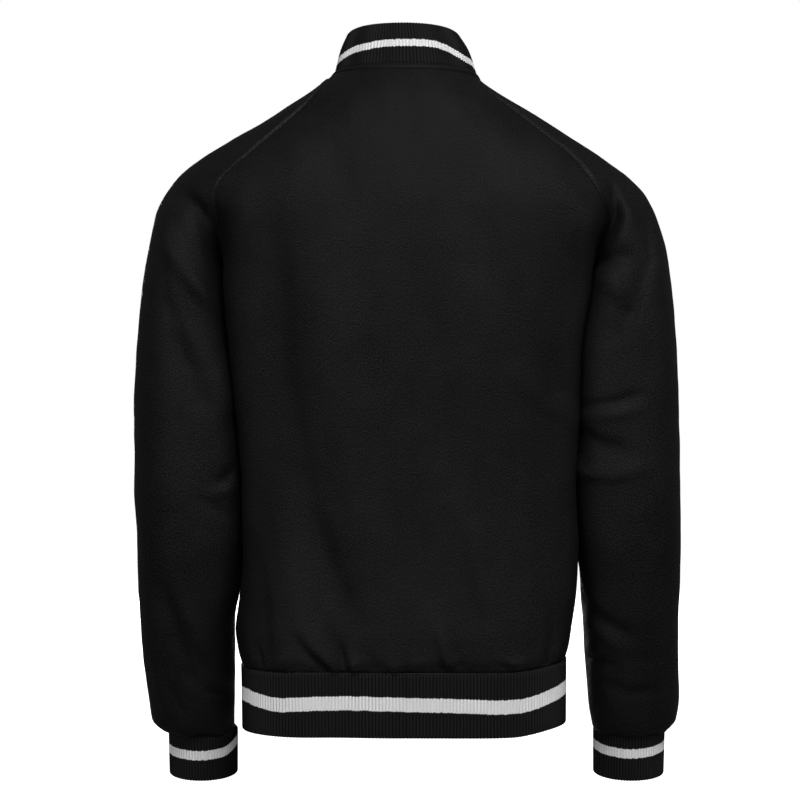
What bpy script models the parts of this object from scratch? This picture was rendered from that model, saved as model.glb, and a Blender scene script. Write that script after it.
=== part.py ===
# Raglan varsity jacket, hollow and filled out as when it is worn.
#
# Metres, +Z up. The front faces -Y and the wearer's left is +X. The origin is the middle of the
# neck base, where a wearer's neck and shoulders hold the jacket up.
#
# The shoulders are level ovals (YOKE). Lower down the body (BODY) and each sleeve (SLEEVE) are rings
# of their own. Between NOTCH_TOP and UNDERARM the shape turns from the one into the others, and the
# raglan seams sink into the creases in front of and behind the arm.

import math

import bmesh
import bpy
import numpy as np

# --- cloth ---
CLOTH = 0.0020              # wall of the fleece-backed cloth
RIB_WALL = 0.0022           # wall of the knit between two ribs
RIB_RISE = 0.0010           # how far a rib stands out
SEAM_GAP = 0.0003           # between pieces that are sewn together
NECK_GAP = 0.0005           # under the collar, where the neckline slopes
TAPE_GAP = 0.0004           # under the neck tape, where two panels meet at an angle
TAPE_WALL = 0.0010
TAPE_START = 0.0018         # below the neckline
TAPE_END = 0.0078

# --- driving sizes ---
NOTCH_TOP = -0.110          # where the arm creases begin
UNDERARM = -0.238
HEM_SEAM = -0.617
HEM_END = -0.682
CUFF_HEIGHT = 0.0465
HEM_RIDE = 0.0065           # the hem rides up by this much at the wearer's right side
NECK_HALF = 0.0745          # neckline, seen from above
NECK_DEEP = 0.0700
NECK_MID = -0.008
NECK_BACK_TURN = {1: math.radians(80), -1: math.radians(65)}    # back raglan seams at the neckline
NECK_FRONT_TURN = math.radians(113)
COLLAR_BACK = 0.0445        # height of the stand collar
COLLAR_FRONT = 0.0370
COLLAR_OPEN = math.radians(1.2)      # half of the gap between the collar ends
PLACKET = 0.014             # half of the width by which the fronts overlap
UNDERLAP = CLOTH + 0.0005   # the right front lies this far under the left one
UNDERLAP_RUN = 0.024        # over which the hem band's right end sinks under the left one
SLEEVE_CLEAR = 0.0018       # between sleeve and body below the underarm

# --- how finely the cloth is divided ---
BACK_COLUMNS = 22
FRONT_COLUMNS = 9
SLEEVE_COLUMNS = 22
HEM_RIBS = 280
COLLAR_RIBS = 124
CUFF_RIBS = 72
RIBS_PER_INSIDE_STRIP = 2

SNAP_RADIUS = 0.0075
SNAP_HEIGHTS = (-0.100, -0.198, -0.296, -0.394, -0.492, -0.590)
SNAP_HEM = -0.6495
SNAP_SIDES = 14


def table(names, *rows):
    """Named columns, one row for each section, seam point or fold."""
    columns = np.array(rows, dtype=float).T
    return dict(zip(names.split(), columns))


# Level sections over the shoulders: half widths to the left and right, depths to the back and front.
YOKE = table(
    "z       left    right   back    front   square",
    (0.006, 0.0650, 0.0635, 0.0560, 0.0060, 2.00),
    (0.000, 0.0722, 0.0705, 0.0620, 0.0120, 2.00),
    (-0.008, 0.0835, 0.0775, 0.0685, 0.0250, 2.05),
    (-0.020, 0.0998, 0.0924, 0.0770, 0.0395, 2.10),
    (-0.032, 0.1170, 0.1120, 0.0850, 0.0515, 2.15),
    (-0.052, 0.1480, 0.1450, 0.0942, 0.0652, 2.20),
    (-0.074, 0.1865, 0.1800, 0.1028, 0.0790, 2.25),
    (-0.093, 0.2165, 0.2090, 0.1080, 0.0908, 2.30),
    (-0.113, 0.2400, 0.2350, 0.1122, 0.1015, 2.40),
    (-0.133, 0.2541, 0.2520, 0.1155, 0.1090, 2.50),
    (-0.154, 0.2625, 0.2615, 0.1175, 0.1150, 2.60),
    (-0.196, 0.2705, 0.2730, 0.1185, 0.1210, 2.70),
    (-0.238, 0.2768, 0.2780, 0.1180, 0.1230, 2.70))

# Level sections of the body below the creases, down through the hem band.
BODY = table(
    "z       left    right   back    front   square",
    (-0.112, 0.2000, 0.2030, 0.1120, 0.1010, 2.50),
    (-0.149, 0.1950, 0.2070, 0.1170, 0.1140, 2.80),
    (-0.191, 0.1905, 0.1970, 0.1185, 0.1210, 3.00),
    (-0.238, 0.1868, 0.1880, 0.1180, 0.1230, 3.00),
    (-0.300, 0.1815, 0.1790, 0.1145, 0.1220, 3.00),
    (-0.360, 0.1752, 0.1775, 0.1100, 0.1180, 2.95),
    (-0.430, 0.1695, 0.1745, 0.1070, 0.1140, 2.95),
    (-0.500, 0.1690, 0.1785, 0.1075, 0.1120, 2.90),
    (-0.550, 0.1745, 0.1770, 0.1095, 0.1120, 2.90),
    (-0.580, 0.1780, 0.1735, 0.1105, 0.1120, 3.00),
    (-0.603, 0.1745, 0.1695, 0.1100, 0.1110, 3.15),
    (-0.617, 0.1708, 0.1660, 0.1065, 0.1070, 3.30),
    (-0.682, 0.1697, 0.1655, 0.1060, 0.1060, 3.30))

# Sections of the sleeves: inner and outer edge seen from behind, middle and half depth seen from the
# side, and the tilt of the section, in degrees, where the forearm reaches forward.
SLEEVE = table(
    "z      in_left out_left in_right out_right mid    deep   square tilt",
    (-0.112, 0.1920, 0.2405, 0.1900, 0.2352, 0.0000, 0.0720, 2.2, 0),
    (-0.149, 0.1920, 0.2610, 0.2000, 0.2585, 0.0000, 0.0800, 2.3, 0),
    (-0.191, 0.1900, 0.2695, 0.1970, 0.2720, 0.0000, 0.0830, 2.3, 0),
    (-0.238, 0.1870, 0.2768, 0.1870, 0.2780, 0.0000, 0.0830, 2.3, 0),
    (-0.300, 0.1800, 0.2818, 0.1770, 0.2830, 0.0020, 0.0790, 2.3, 0),
    (-0.360, 0.1740, 0.2840, 0.1760, 0.2850, 0.0040, 0.0740, 2.3, 0),
    (-0.430, 0.1680, 0.2835, 0.1740, 0.2865, 0.0040, 0.0690, 2.3, 1),
    (-0.480, 0.1690, 0.2820, 0.1770, 0.2875, 0.0000, 0.0655, 2.3, 2),
    (-0.530, 0.1760, 0.2810, 0.1830, 0.2878, -0.0080, 0.0610, 2.3, 4),
    (-0.580, 0.1812, 0.2798, 0.1870, 0.2872, -0.0170, 0.0570, 2.3, 5),
    (-0.630, 0.1815, 0.2762, 0.1915, 0.2892, -0.0270, 0.0530, 2.3, 6),
    (-0.662, 0.1825, 0.2722, 0.1940, 0.2900, -0.0335, 0.0500, 2.2, 7),
    (-0.681, 0.1830, 0.2700, 0.1970, 0.2880, -0.0375, 0.0465, 2.1, 7),
    (-0.690, 0.1830, 0.2620, 0.1990, 0.2815, -0.0395, 0.0420, 2.0, 7),
    (-0.694, 0.1805, 0.2525, 0.2010, 0.2755, -0.0405, 0.0365, 2.0, 7))

# Raglan seams from below the neckline to the underarm: height and distance from the middle of the
# back seam and of the front seam, and the height of the same row at the centre front.
ARMHOLE = table(
    "z_back  left    right   z_front left_front right_front z_middle",
    (-0.022, 0.0896, 0.0815, -0.036, 0.0880, 0.0860, -0.086),
    (-0.045, 0.1085, 0.1101, -0.055, 0.1100, 0.1080, -0.098),
    (-0.070, 0.1348, 0.1403, -0.077, 0.1330, 0.1310, -0.111),
    (-0.095, 0.1622, 0.1700, -0.100, 0.1530, 0.1520, -0.126),
    (-0.120, 0.1884, 0.1887, -0.123, 0.1690, 0.1690, -0.142),
    (-0.140, 0.1965, 0.1994, -0.142, 0.1790, 0.1820, -0.157),
    (-0.160, 0.1925, 0.2060, -0.161, 0.1840, 0.1920, -0.172),
    (-0.185, 0.1905, 0.1985, -0.186, 0.1860, 0.1940, -0.191),
    (-0.210, 0.1885, 0.1930, -0.211, 0.1875, 0.1925, -0.213),
    (-0.238, 0.1868, 0.1880, -0.238, 0.1868, 0.1880, -0.238))

BODY_LEVELS = (-0.270, -0.310, -0.352, -0.400, -0.450, -0.500, -0.545, -0.580, -0.603, HEM_SEAM)
SLEEVE_LEVELS = (-0.268, -0.302, -0.338, -0.376, -0.412, -0.446, -0.482, -0.522, -0.564, -0.606,
                 -0.642, -0.668, -0.684, -0.6905, -0.694)

# Broad waves of the back at the hem, carried into the hem band.
HEM_WAVES = table(
    "x      width  rise",
    (0.120, 0.030, 0.0030),
    (0.066, 0.036, -0.0045),
    (-0.010, 0.040, -0.0010),
    (-0.096, 0.034, 0.0030))

# Largest folds. Each runs from a top end to a low end and stands out (+) or sinks in (-) by rise.
BACK_FOLDS = table(
    "x_top   z_top   x_low   z_low   width  rise",
    (0.138, -0.156, 0.128, -0.290, 0.024, -0.0030),
    (0.128, -0.290, 0.086, -0.520, 0.026, -0.0030),
    (0.085, -0.210, 0.040, -0.470, 0.036, 0.0030),
    (-0.022, -0.200, -0.037, -0.430, 0.024, -0.0035),
    (-0.074, -0.236, -0.125, -0.430, 0.024, 0.0030),
    (-0.146, -0.300, -0.140, -0.420, 0.016, -0.0025))
FRONT_FOLDS = table(
    "x_top   z_top   x_low   z_low   width  rise",
    (0.120, -0.190, 0.095, -0.430, 0.026, -0.0030),
    (0.070, -0.240, 0.060, -0.520, 0.030, 0.0025),
    (-0.118, -0.200, -0.090, -0.400, 0.026, -0.0030),
    (-0.066, -0.280, -0.075, -0.530, 0.030, 0.0025))

# Sleeve folds: across is 0 at the outer edge and 1 at the edge beside the body. It is above 0 on the
# half that is seen from behind and below 0 on the front half.
SLEEVE_FOLDS_LEFT = table(
    "across_top z_top across_low z_low  width  rise",
    (0.46, -0.130, 0.86, -0.176, 0.018, -0.0070),
    (0.50, -0.172, 0.84, -0.225, 0.018, 0.0060),
    (0.54, -0.288, 0.74, -0.350, 0.018, -0.0050),
    (0.82, -0.292, 0.92, -0.350, 0.018, 0.0040),
    (0.95, -0.408, 0.78, -0.424, 0.017, -0.0055),
    (0.40, -0.560, 0.70, -0.612, 0.018, 0.0040),
    (0.22, -0.545, 0.40, -0.625, 0.018, -0.0040),
    (-0.50, -0.150, -0.90, -0.200, 0.018, -0.0070),
    (-0.45, -0.215, -0.80, -0.270, 0.018, 0.0060),
    (-0.90, -0.430, -0.35, -0.452, 0.018, -0.0075),
    (-0.85, -0.480, -0.40, -0.500, 0.018, 0.0050),
    (-0.60, -0.560, -0.30, -0.620, 0.018, 0.0040))
SLEEVE_FOLDS_RIGHT = table(
    "across_top z_top across_low z_low  width  rise",
    (0.46, -0.128, 0.66, -0.150, 0.016, -0.0060),
    (0.70, -0.200, 0.92, -0.208, 0.016, -0.0060),
    (0.60, -0.166, 0.66, -0.186, 0.017, 0.0050),
    (0.74, -0.226, 0.80, -0.262, 0.018, 0.0055),
    (0.34, -0.165, 0.36, -0.230, 0.017, -0.0060),
    (0.36, -0.230, 0.54, -0.275, 0.017, -0.0055),
    (0.90, -0.340, 0.45, -0.338, 0.017, -0.0065),
    (0.86, -0.376, 0.50, -0.372, 0.017, 0.0050),
    (0.92, -0.420, 0.78, -0.432, 0.017, 0.0050),
    (0.92, -0.556, 0.55, -0.588, 0.017, -0.0055),
    (0.90, -0.606, 0.60, -0.626, 0.017, 0.0045),
    (-0.50, -0.150, -0.90, -0.200, 0.018, -0.0070),
    (-0.40, -0.225, -0.80, -0.260, 0.018, 0.0060),
    (-0.90, -0.425, -0.40, -0.446, 0.018, -0.0075),
    (-0.85, -0.475, -0.35, -0.492, 0.018, 0.0050),
    (-0.55, -0.570, -0.30, -0.610, 0.018, 0.0040))


# ---------------------------------------------------------------- form

def read(sections, column, z):
    """A column's value at height z, on a smooth curve that never overshoots the rows."""
    heights = sections["z"][::-1]
    values = sections[column][::-1]
    z = np.clip(z, heights[0], heights[-1])
    step = np.diff(heights)
    rise = np.diff(values) / step
    slope = np.concatenate([rise[:1], np.zeros(len(rise) - 1), rise[-1:]])
    product = rise[:-1] * rise[1:]
    same_way = product > 0
    slope[1:-1][same_way] = 2 * product[same_way] / (rise[:-1] + rise[1:])[same_way]
    i = np.clip(np.searchsorted(heights, z) - 1, 0, len(step) - 1)
    t = (z - heights[i]) / step[i]
    return (values[i] * (1 + 2 * t) * (1 - t) ** 2 + values[i + 1] * t * t * (3 - 2 * t)
            + step[i] * (slope[i] * t * (1 - t) ** 2 - slope[i + 1] * t * t * (1 - t)))


def signed_power(value, power):
    return np.sign(value) * np.abs(value) ** power


def ease(t):
    t = np.clip(t, 0.0, 1.0)
    return t * t * (3 - 2 * t)


def oval(sections, turn, z):
    """Points of level sections. turn is 0 at the centre back and grows towards the wearer's left."""
    turn, z = np.broadcast_arrays(turn, z)
    sine, cosine = np.sin(turn), np.cos(turn)
    half = np.where(sine >= 0, read(sections, "left", z), read(sections, "right", z))
    deep = np.where(cosine >= 0, read(sections, "back", z), read(sections, "front", z))
    power = 2 / read(sections, "square", z)
    return np.stack([half * signed_power(sine, power), deep * signed_power(cosine, power), z], axis=-1)


def oval_turn(sections, x, z, side, front):
    """Turn at which a section is x away from the middle, on the back or the front."""
    half = read(sections, "left" if x >= 0 else "right", z)
    turn = np.arcsin(np.minimum(np.abs(x) / half, 1) ** (read(sections, "square", z) / 2))
    if not front:
        return side * turn
    return side * (math.pi - turn if x * side >= 0 else math.pi + turn)


def on_yoke(x, y):
    """Height of the shoulders over a point of the plan."""
    low, high = np.full_like(x, -0.13), np.full_like(x, 0.006)
    for _ in range(30):
        z = (low + high) / 2
        half = np.where(x >= 0, read(YOKE, "left", z), read(YOKE, "right", z))
        deep = np.where(y >= 0, read(YOKE, "back", z), read(YOKE, "front", z))
        square = read(YOKE, "square", z)
        outside = np.abs(x / half) ** square + np.abs(y / deep) ** square > 1
        high = np.where(outside, z, high)
        low = np.where(outside, low, z)
    return low


def neckline(turn):
    x = NECK_HALF * np.sin(turn)
    y = NECK_MID + NECK_DEEP * np.cos(turn)
    return np.stack([x, y, on_yoke(x, y)], axis=-1)


def parted(z):
    """0 where body and sleeve are one shoulder, 1 at the underarm."""
    return ease((NOTCH_TOP - z) / (NOTCH_TOP - UNDERARM))


def torso(yoke_turn, body_turn, z):
    share = parted(z)[..., None]
    return (1 - share) * oval(YOKE, yoke_turn, z) + share * oval(BODY, body_turn, z)


def body_edge(side, y, z):
    """Half width of the body at a depth y."""
    half = read(BODY, "left" if side > 0 else "right", z)
    deep = np.where(y >= 0, read(BODY, "back", z), read(BODY, "front", z))
    square = read(BODY, "square", z)
    return half * np.maximum(1 - np.minimum(np.abs(y) / deep, 1) ** square, 0) ** (1 / square)


def beside_body(points, side):
    """Moves sleeve points out of the body, to lie just clear of it."""
    x, y, z = points[..., 0] * side, points[..., 1], points[..., 2]
    away = np.maximum(ease((UNDERARM - z) / 0.03), ease(np.abs(y) / 0.018))
    clear = SEAM_GAP + (SLEEVE_CLEAR - SEAM_GAP) * away
    out = np.maximum(x, body_edge(side, y, z) + clear)
    return np.stack([out * side, y, z], axis=-1)


def sleeve_ring(side, turn, z):
    """Points of a sleeve's own rings. turn is 0 outermost, positive behind, and pi by the body."""
    name = "left" if side > 0 else "right"
    inner, outer = read(SLEEVE, "in_" + name, z), read(SLEEVE, "out_" + name, z)
    mid, deep = read(SLEEVE, "mid", z), read(SLEEVE, "deep", z)
    power = 2 / read(SLEEVE, "square", z)
    x = (inner + outer) / 2 + (outer - inner) / 2 * signed_power(np.cos(turn), power)
    behind = deep * signed_power(np.sin(turn), power)
    level = z - behind * np.tan(np.radians(read(SLEEVE, "tilt", z)))
    return beside_body(np.stack([x * side, mid + behind, level], axis=-1), side)


def fold_rise(across, z, folds, first, second):
    """Height of all folds over the points (across, z)."""
    total = np.zeros_like(z)
    rows = zip(folds[first], folds["z_top"], folds[second], folds["z_low"], folds["width"], folds["rise"])
    for a_top, z_top, a_low, z_low, width, rise in rows:
        run_a, run_z = a_low - a_top, z_low - z_top
        along = ((across - a_top) * run_a + (z - z_top) * run_z) / (run_a ** 2 + run_z ** 2)
        along = np.clip(along, 0, 1)
        gap = np.hypot(across - a_top - along * run_a, z - z_top - along * run_z)
        total += rise * np.exp(-(gap / width) ** 2)
    return total


# ---------------------------------------------------------------- grids of the panels

def normals(grid, ring_from=None):
    """Unit vectors out of the cloth at each point of a grid of rows."""
    across = np.gradient(grid, axis=1)
    down = np.gradient(grid, axis=0)
    if ring_from is not None:
        lap = (grid[ring_from:, 1] - grid[ring_from:, -2]) / 2
        across[ring_from:, 0] = lap
        across[ring_from:, -1] = lap
    out = np.cross(across, down)
    out /= np.linalg.norm(out, axis=-1, keepdims=True)
    centre = grid.mean(axis=1, keepdims=True)
    return out if np.sum(out * (grid - centre)) > 0 else -out


def edge_fade(count_rows, count_columns, low_rows=2):
    """1 inside a panel and 0 along its seams, so that folds die out into them."""
    fade = np.ones((count_rows, count_columns))
    fade[:, [0, -1]] = 0
    fade[:, [1, -2]] = 0.6
    fade[0] = 0
    fade[-1] = 0
    fade[-low_rows] *= 0.5
    return fade


def hem_wave(points):
    """The back's broad waves and the lift at the right, which grow from the waist to the hem."""
    x, y, z = points[..., 0], points[..., 1], points[..., 2]
    grown = ease((-0.40 - z) / 0.18)
    waves = sum(rise * np.exp(-((x - at) / width) ** 2)
                for at, width, rise in zip(HEM_WAVES["x"], HEM_WAVES["width"], HEM_WAVES["rise"]))
    ride = HEM_RIDE * ease((-x - 0.105) / 0.062) * grown
    return np.stack([x, y + grown * waves * (y > 0), z + ride], axis=-1)


def seam_turns(side, front):
    """Turn of the raglan seam in the shoulder sections, row by row."""
    column = ("left" if side > 0 else "right") + ("_front" if front else "")
    height = "z_front" if front else "z_back"
    return [oval_turn(YOKE, side * x, z, side, front) for x, z in zip(ARMHOLE[column], ARMHOLE[height])]


def trim(grid, rows, columns):
    """Draws the given columns back from their seam by half a gap."""
    for column in columns:
        inward = grid[rows, 1 if column == 0 else -2] - grid[rows, column]
        inward /= np.linalg.norm(inward, axis=-1, keepdims=True)
        grid[rows, column] += inward * SEAM_GAP / 2


def back_grid():
    share = np.linspace(-1, 1, BACK_COLUMNS + 1)
    rows = [neckline(share * np.where(share >= 0, NECK_BACK_TURN[1], NECK_BACK_TURN[-1]))]
    for z, left, right in zip(ARMHOLE["z_back"], seam_turns(1, False), seam_turns(-1, False)):
        yoke_turn = np.where(share >= 0, share * left, -share * right)
        rows.append(torso(yoke_turn, share * math.pi / 2, np.full_like(share, z)))
    for z in BODY_LEVELS:
        rows.append(oval(BODY, share * math.pi / 2, z))
    grid = hem_wave(np.array(rows))
    rise = fold_rise(grid[..., 0], grid[..., 2], BACK_FOLDS, "x_top", "x_low")
    grid += normals(grid) * (rise * edge_fade(*rise.shape))[..., None]
    trim(grid, slice(None), (0, -1))
    return grid


def front_grid(side):
    """Columns run from the placket edge to the raglan seam and the side seam."""
    placket = np.array([-PLACKET, 0.0, PLACKET + 0.0012, PLACKET + 0.0060])
    share = np.linspace(0, 1, FRONT_COLUMNS + 1)[1:]
    climb = np.concatenate([np.zeros(len(placket)), share ** 1.4])

    def turns(sections, z, seam, crowd=1.0):
        edge = np.array([oval_turn(sections, side * x, z, side, True) for x in placket])
        return np.concatenate([edge, edge[-1] + (seam - edge[-1]) * share ** crowd])

    neck_edge = side * (math.pi - np.arcsin(placket / NECK_HALF))
    neck_seam = side * NECK_FRONT_TURN
    rows = [neckline(np.concatenate([neck_edge, neck_edge[-1] + (neck_seam - neck_edge[-1]) * share]))]
    crowding = np.linspace(1.6, 1.0, len(ARMHOLE["z_front"]))
    seams = zip(seam_turns(side, True), ARMHOLE["z_front"], ARMHOLE["z_middle"], crowding)
    for seam, z_seam, z_middle, crowd in seams:
        z = z_middle + (z_seam - z_middle) * climb
        body_turns = turns(BODY, z_middle, side * math.pi / 2, crowd)
        rows.append(torso(turns(YOKE, z_middle, seam, crowd), body_turns, z))
    for z in BODY_LEVELS:
        rows.append(oval(BODY, turns(BODY, z, side * math.pi / 2), z))
    grid = hem_wave(np.array(rows))
    rise = fold_rise(grid[..., 0], grid[..., 2], FRONT_FOLDS, "x_top", "x_low")
    grid += normals(grid) * (rise * edge_fade(*rise.shape))[..., None]
    if side < 0:
        lapped = np.zeros(grid.shape[1])
        lapped[:3] = UNDERLAP
        grid -= normals(grid) * lapped[None, :, None]
    trim(grid, slice(None), (-1,))
    return grid


def sleeve_grid(side):
    """Columns run from the front seam over the arm to the back seam, and under it to the armpit."""
    turn = np.linspace(-math.pi, math.pi, SLEEVE_COLUMNS + 1)
    share = np.abs(turn) / math.pi
    behind = turn >= 0
    neck_ridge = (NECK_BACK_TURN[side] + NECK_FRONT_TURN) / 2
    neck_turn = neck_ridge - turn / math.pi * (NECK_FRONT_TURN - NECK_BACK_TURN[side]) / 2
    rows = [neckline(side * neck_turn)]
    back_turns, front_turns = seam_turns(side, False), seam_turns(side, True)
    for i, (z_back, z_front) in enumerate(zip(ARMHOLE["z_back"], ARMHOLE["z_front"])):
        z = np.where(behind, z_back, z_back + (z_front - z_back) * ease(share))
        seam = np.where(behind, side * back_turns[i], side * front_turns[i])
        yoke_turn = side * (math.pi / 2 + (seam - math.pi / 2) * share)
        parts = parted(z)[:, None]
        rows.append((1 - parts) * oval(YOKE, yoke_turn, z) + parts * sleeve_ring(side, turn, z))
    armhole_rows = len(rows)
    for z in SLEEVE_LEVELS:
        rows.append(sleeve_ring(side, turn, np.full_like(turn, z)))
    grid = np.array(rows)
    ring_from = armhole_rows - 1
    folds = SLEEVE_FOLDS_LEFT if side > 0 else SLEEVE_FOLDS_RIGHT
    width = np.ptp(grid[..., 0], axis=1)[:, None]
    across = width * np.where(behind, 1, -1) * (1 - np.cos(turn)) / 2
    folds = dict(folds)
    rise = np.zeros(grid.shape[:2])
    for k in range(len(folds["rise"])):
        one = {name: values[k:k + 1] for name, values in folds.items()}
        z_mid = (one["z_top"] + one["z_low"]) / 2
        name = "left" if side > 0 else "right"
        spread = read(SLEEVE, "out_" + name, z_mid) - read(SLEEVE, "in_" + name, z_mid)
        one["across_top"] = one["across_top"] * spread
        one["across_low"] = one["across_low"] * spread
        rise += fold_rise(across, grid[..., 2], one, "across_top", "across_low")
    fade = edge_fade(*rise.shape)
    fade[4:ring_from + 1, [1, 2, -3, -2]] = 0
    fade[ring_from + 1:-2, :] = 1
    grid += normals(grid, ring_from) * (rise * fade)[..., None]
    grid[ring_from:] = beside_body(grid[ring_from:], side)
    trim(grid, slice(0, ring_from), (0, -1))
    return grid, ring_from


# ---------------------------------------------------------------- solids

def add_object(name, points, faces, colour, roughness):
    mesh = bpy.data.meshes.new(name)
    mesh.from_pydata([tuple(p) for p in points], [], faces)
    work = bmesh.new()
    work.from_mesh(mesh)
    bmesh.ops.recalc_face_normals(work, faces=work.faces)
    work.to_mesh(mesh)
    work.free()
    mesh.shade_smooth()
    material = bpy.data.materials.new(name + "_finish")
    material.use_nodes = True
    surface = material.node_tree.nodes["Principled BSDF"]
    surface.inputs["Base Color"].default_value = (*colour, 1.0)
    surface.inputs["Roughness"].default_value = roughness
    mesh.materials.append(material)
    obj = bpy.data.objects.new(name, mesh)
    bpy.context.scene.collection.objects.link(obj)
    return obj


BLACK_CLOTH = ((0.011, 0.011, 0.012), 0.62)
BLACK_KNIT = ((0.010, 0.010, 0.011), 0.80)
BLACK_ENAMEL = ((0.013, 0.013, 0.014), 0.35)


def cloth_wall(name, outer, inner, ring_from=None):
    """A closed wall between two grids. From row ring_from down, its first and last columns are one."""
    rows, columns = outer.shape[:2]
    ring_from = rows if ring_from is None else ring_from
    number = np.full((2, rows, columns), -1)
    points = []
    for layer, grid in enumerate((outer, inner)):
        for i in range(rows):
            for j in range(columns):
                if i >= ring_from and j == columns - 1:
                    number[layer, i, j] = number[layer, i, 0]
                    continue
                number[layer, i, j] = len(points)
                points.append(grid[i, j])
    top, low = number
    faces = []
    for i in range(rows - 1):
        for j in range(columns - 1):
            faces.append((top[i, j], top[i, j + 1], top[i + 1, j + 1], top[i + 1, j]))
            faces.append((low[i, j], low[i + 1, j], low[i + 1, j + 1], low[i, j + 1]))
    for j in range(columns - 1):
        for i in (0, rows - 1):
            faces.append((top[i, j], top[i, j + 1], low[i, j + 1], low[i, j]))
    for i in range(min(ring_from, rows - 1)):
        for j in (0, columns - 1):
            faces.append((top[i, j], top[i + 1, j], low[i + 1, j], low[i, j]))
    return add_object(name, points, [tuple(int(v) for v in face) for face in faces], *BLACK_CLOTH)


def rib_wall(name, base, out, closed):
    """A wall with ribs raised on its outer points and a plain inside. base has two points a rib."""
    per_strip = 2 * RIBS_PER_INSIDE_STRIP
    rows, columns = base.shape[:2]
    rib = np.arange(columns) % 2
    outer = base + out * (rib * RIB_RISE)[None, :, None]
    inner = (base - out * RIB_WALL)[:, ::per_strip]
    if closed:
        outer, inner = outer[:, :-1], inner[:, :-1]
    fine, coarse = outer.shape[1], inner.shape[1]
    points = np.concatenate([outer.reshape(-1, 3), inner.reshape(-1, 3)])

    def top(i, j):
        return i * fine + j % fine

    def low(i, k):
        return rows * fine + i * coarse + k % coarse

    strips = coarse if closed else coarse - 1
    faces = []
    for i in range(rows - 1):
        for j in range(strips * per_strip):
            faces.append((top(i, j), top(i, j + 1), top(i + 1, j + 1), top(i + 1, j)))
        for k in range(strips):
            faces.append((low(i, k), low(i + 1, k), low(i + 1, k + 1), low(i, k + 1)))
        if not closed:
            for j, k in ((0, 0), (columns - 1, coarse - 1)):
                faces.append((top(i, j), top(i + 1, j), low(i + 1, k), low(i, k)))
    for i in (0, rows - 1):
        for k in range(strips):
            first = k * per_strip
            half = first + per_strip // 2
            for j in range(first, half):
                faces.append((top(i, j), top(i, j + 1), low(i, k)))
            faces.append((top(i, half), low(i, k + 1), low(i, k)))
            for j in range(half, first + per_strip):
                faces.append((top(i, j), top(i, j + 1), low(i, k + 1)))
    return add_object(name, points, faces, *BLACK_KNIT)


def even_turns(curve, first, last, count):
    """Turns at which points of a curve are evenly spaced along it."""
    fine = np.linspace(first, last, 3001)
    steps = np.linalg.norm(np.diff(curve(fine), axis=0), axis=1)
    length = np.concatenate([[0], np.cumsum(steps)])
    return np.interp(np.linspace(0, length[-1], count + 1), length, fine)


def share_seam_normals(panels):
    """Both panels of a smooth seam get the same direction into the cloth along it."""
    seams = []
    for side, column in (("left", -1), ("right", 0)):
        seams.append(("back", column, "sleeve_" + side, -1, slice(0, 10)))
        seams.append(("front_" + side, -1, "sleeve_" + side, 0, slice(0, 10)))
        seams.append(("back", column, "front_" + side, -1, slice(10, None)))
    for first, first_column, second, second_column, rows in seams:
        a = panels[first]["out"][rows, first_column]
        b = panels[second]["out"][rows, second_column]
        together = a + b
        together /= np.linalg.norm(together, axis=-1, keepdims=True)
        smooth = np.sum(a * b, axis=-1) > 0.75
        a[smooth] = together[smooth]
        b[smooth] = together[smooth]


def flat_rim(out, plane_normal):
    """Turns directions into a plane, so that the rim at a seam lies in it."""
    flat = out - plane_normal * np.sum(out * plane_normal, axis=-1, keepdims=True)
    return flat / np.linalg.norm(flat, axis=-1, keepdims=True)


UP = np.array([0.0, 0.0, 1.0])
CUFF_TILT = math.radians(SLEEVE["tilt"][-1])
CUFF_AXIS = np.array([0.0, math.sin(CUFF_TILT), math.cos(CUFF_TILT)])


def make_panels():
    panels = {"back": {"grid": back_grid(), "ring_from": None}}
    for name, side in (("left", 1), ("right", -1)):
        panels["front_" + name] = {"grid": front_grid(side), "ring_from": None}
        grid, ring_from = sleeve_grid(side)
        panels["sleeve_" + name] = {"grid": grid, "ring_from": ring_from}
    for name, panel in panels.items():
        panel["out"] = normals(panel["grid"], panel["ring_from"])
        rim_plane = CUFF_AXIS if name.startswith("sleeve") else UP
        panel["out"][-1] = flat_rim(panel["out"][-1], rim_plane)
    share_seam_normals(panels)
    for name, panel in panels.items():
        inner = panel["grid"] - panel["out"] * CLOTH
        cloth_wall(name, panel["grid"], inner, panel["ring_from"])
    return panels


def neck_loop(panels):
    """Points, slopes and directions along the neckline, from the right front round to the left."""
    parts = []
    for name, order, first, last in (("front_right", 1, 3, -1), ("sleeve_right", 1, 0, -1),
                                     ("back", 1, 0, None), ("sleeve_left", -1, 1, None),
                                     ("front_left", -1, 1, None)):
        grid = panels[name]["grid"][:, ::order]
        out = panels[name]["out"][:, ::order]
        down = grid[1] - grid[0]
        down /= np.linalg.norm(down, axis=-1, keepdims=True)
        parts.append(np.concatenate([grid[0], down, out[0]], axis=1)[first:last])
    return np.concatenate(parts)


def make_neck_band(loop):
    edge, down, out = loop[:, 0:3], loop[:, 3:6], loop[:, 6:9]
    near = edge + out * TAPE_GAP
    rows = np.array([near + down * TAPE_START, near + down * TAPE_END])
    cloth_wall("neck_band", rows + out * TAPE_WALL, rows)


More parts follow.
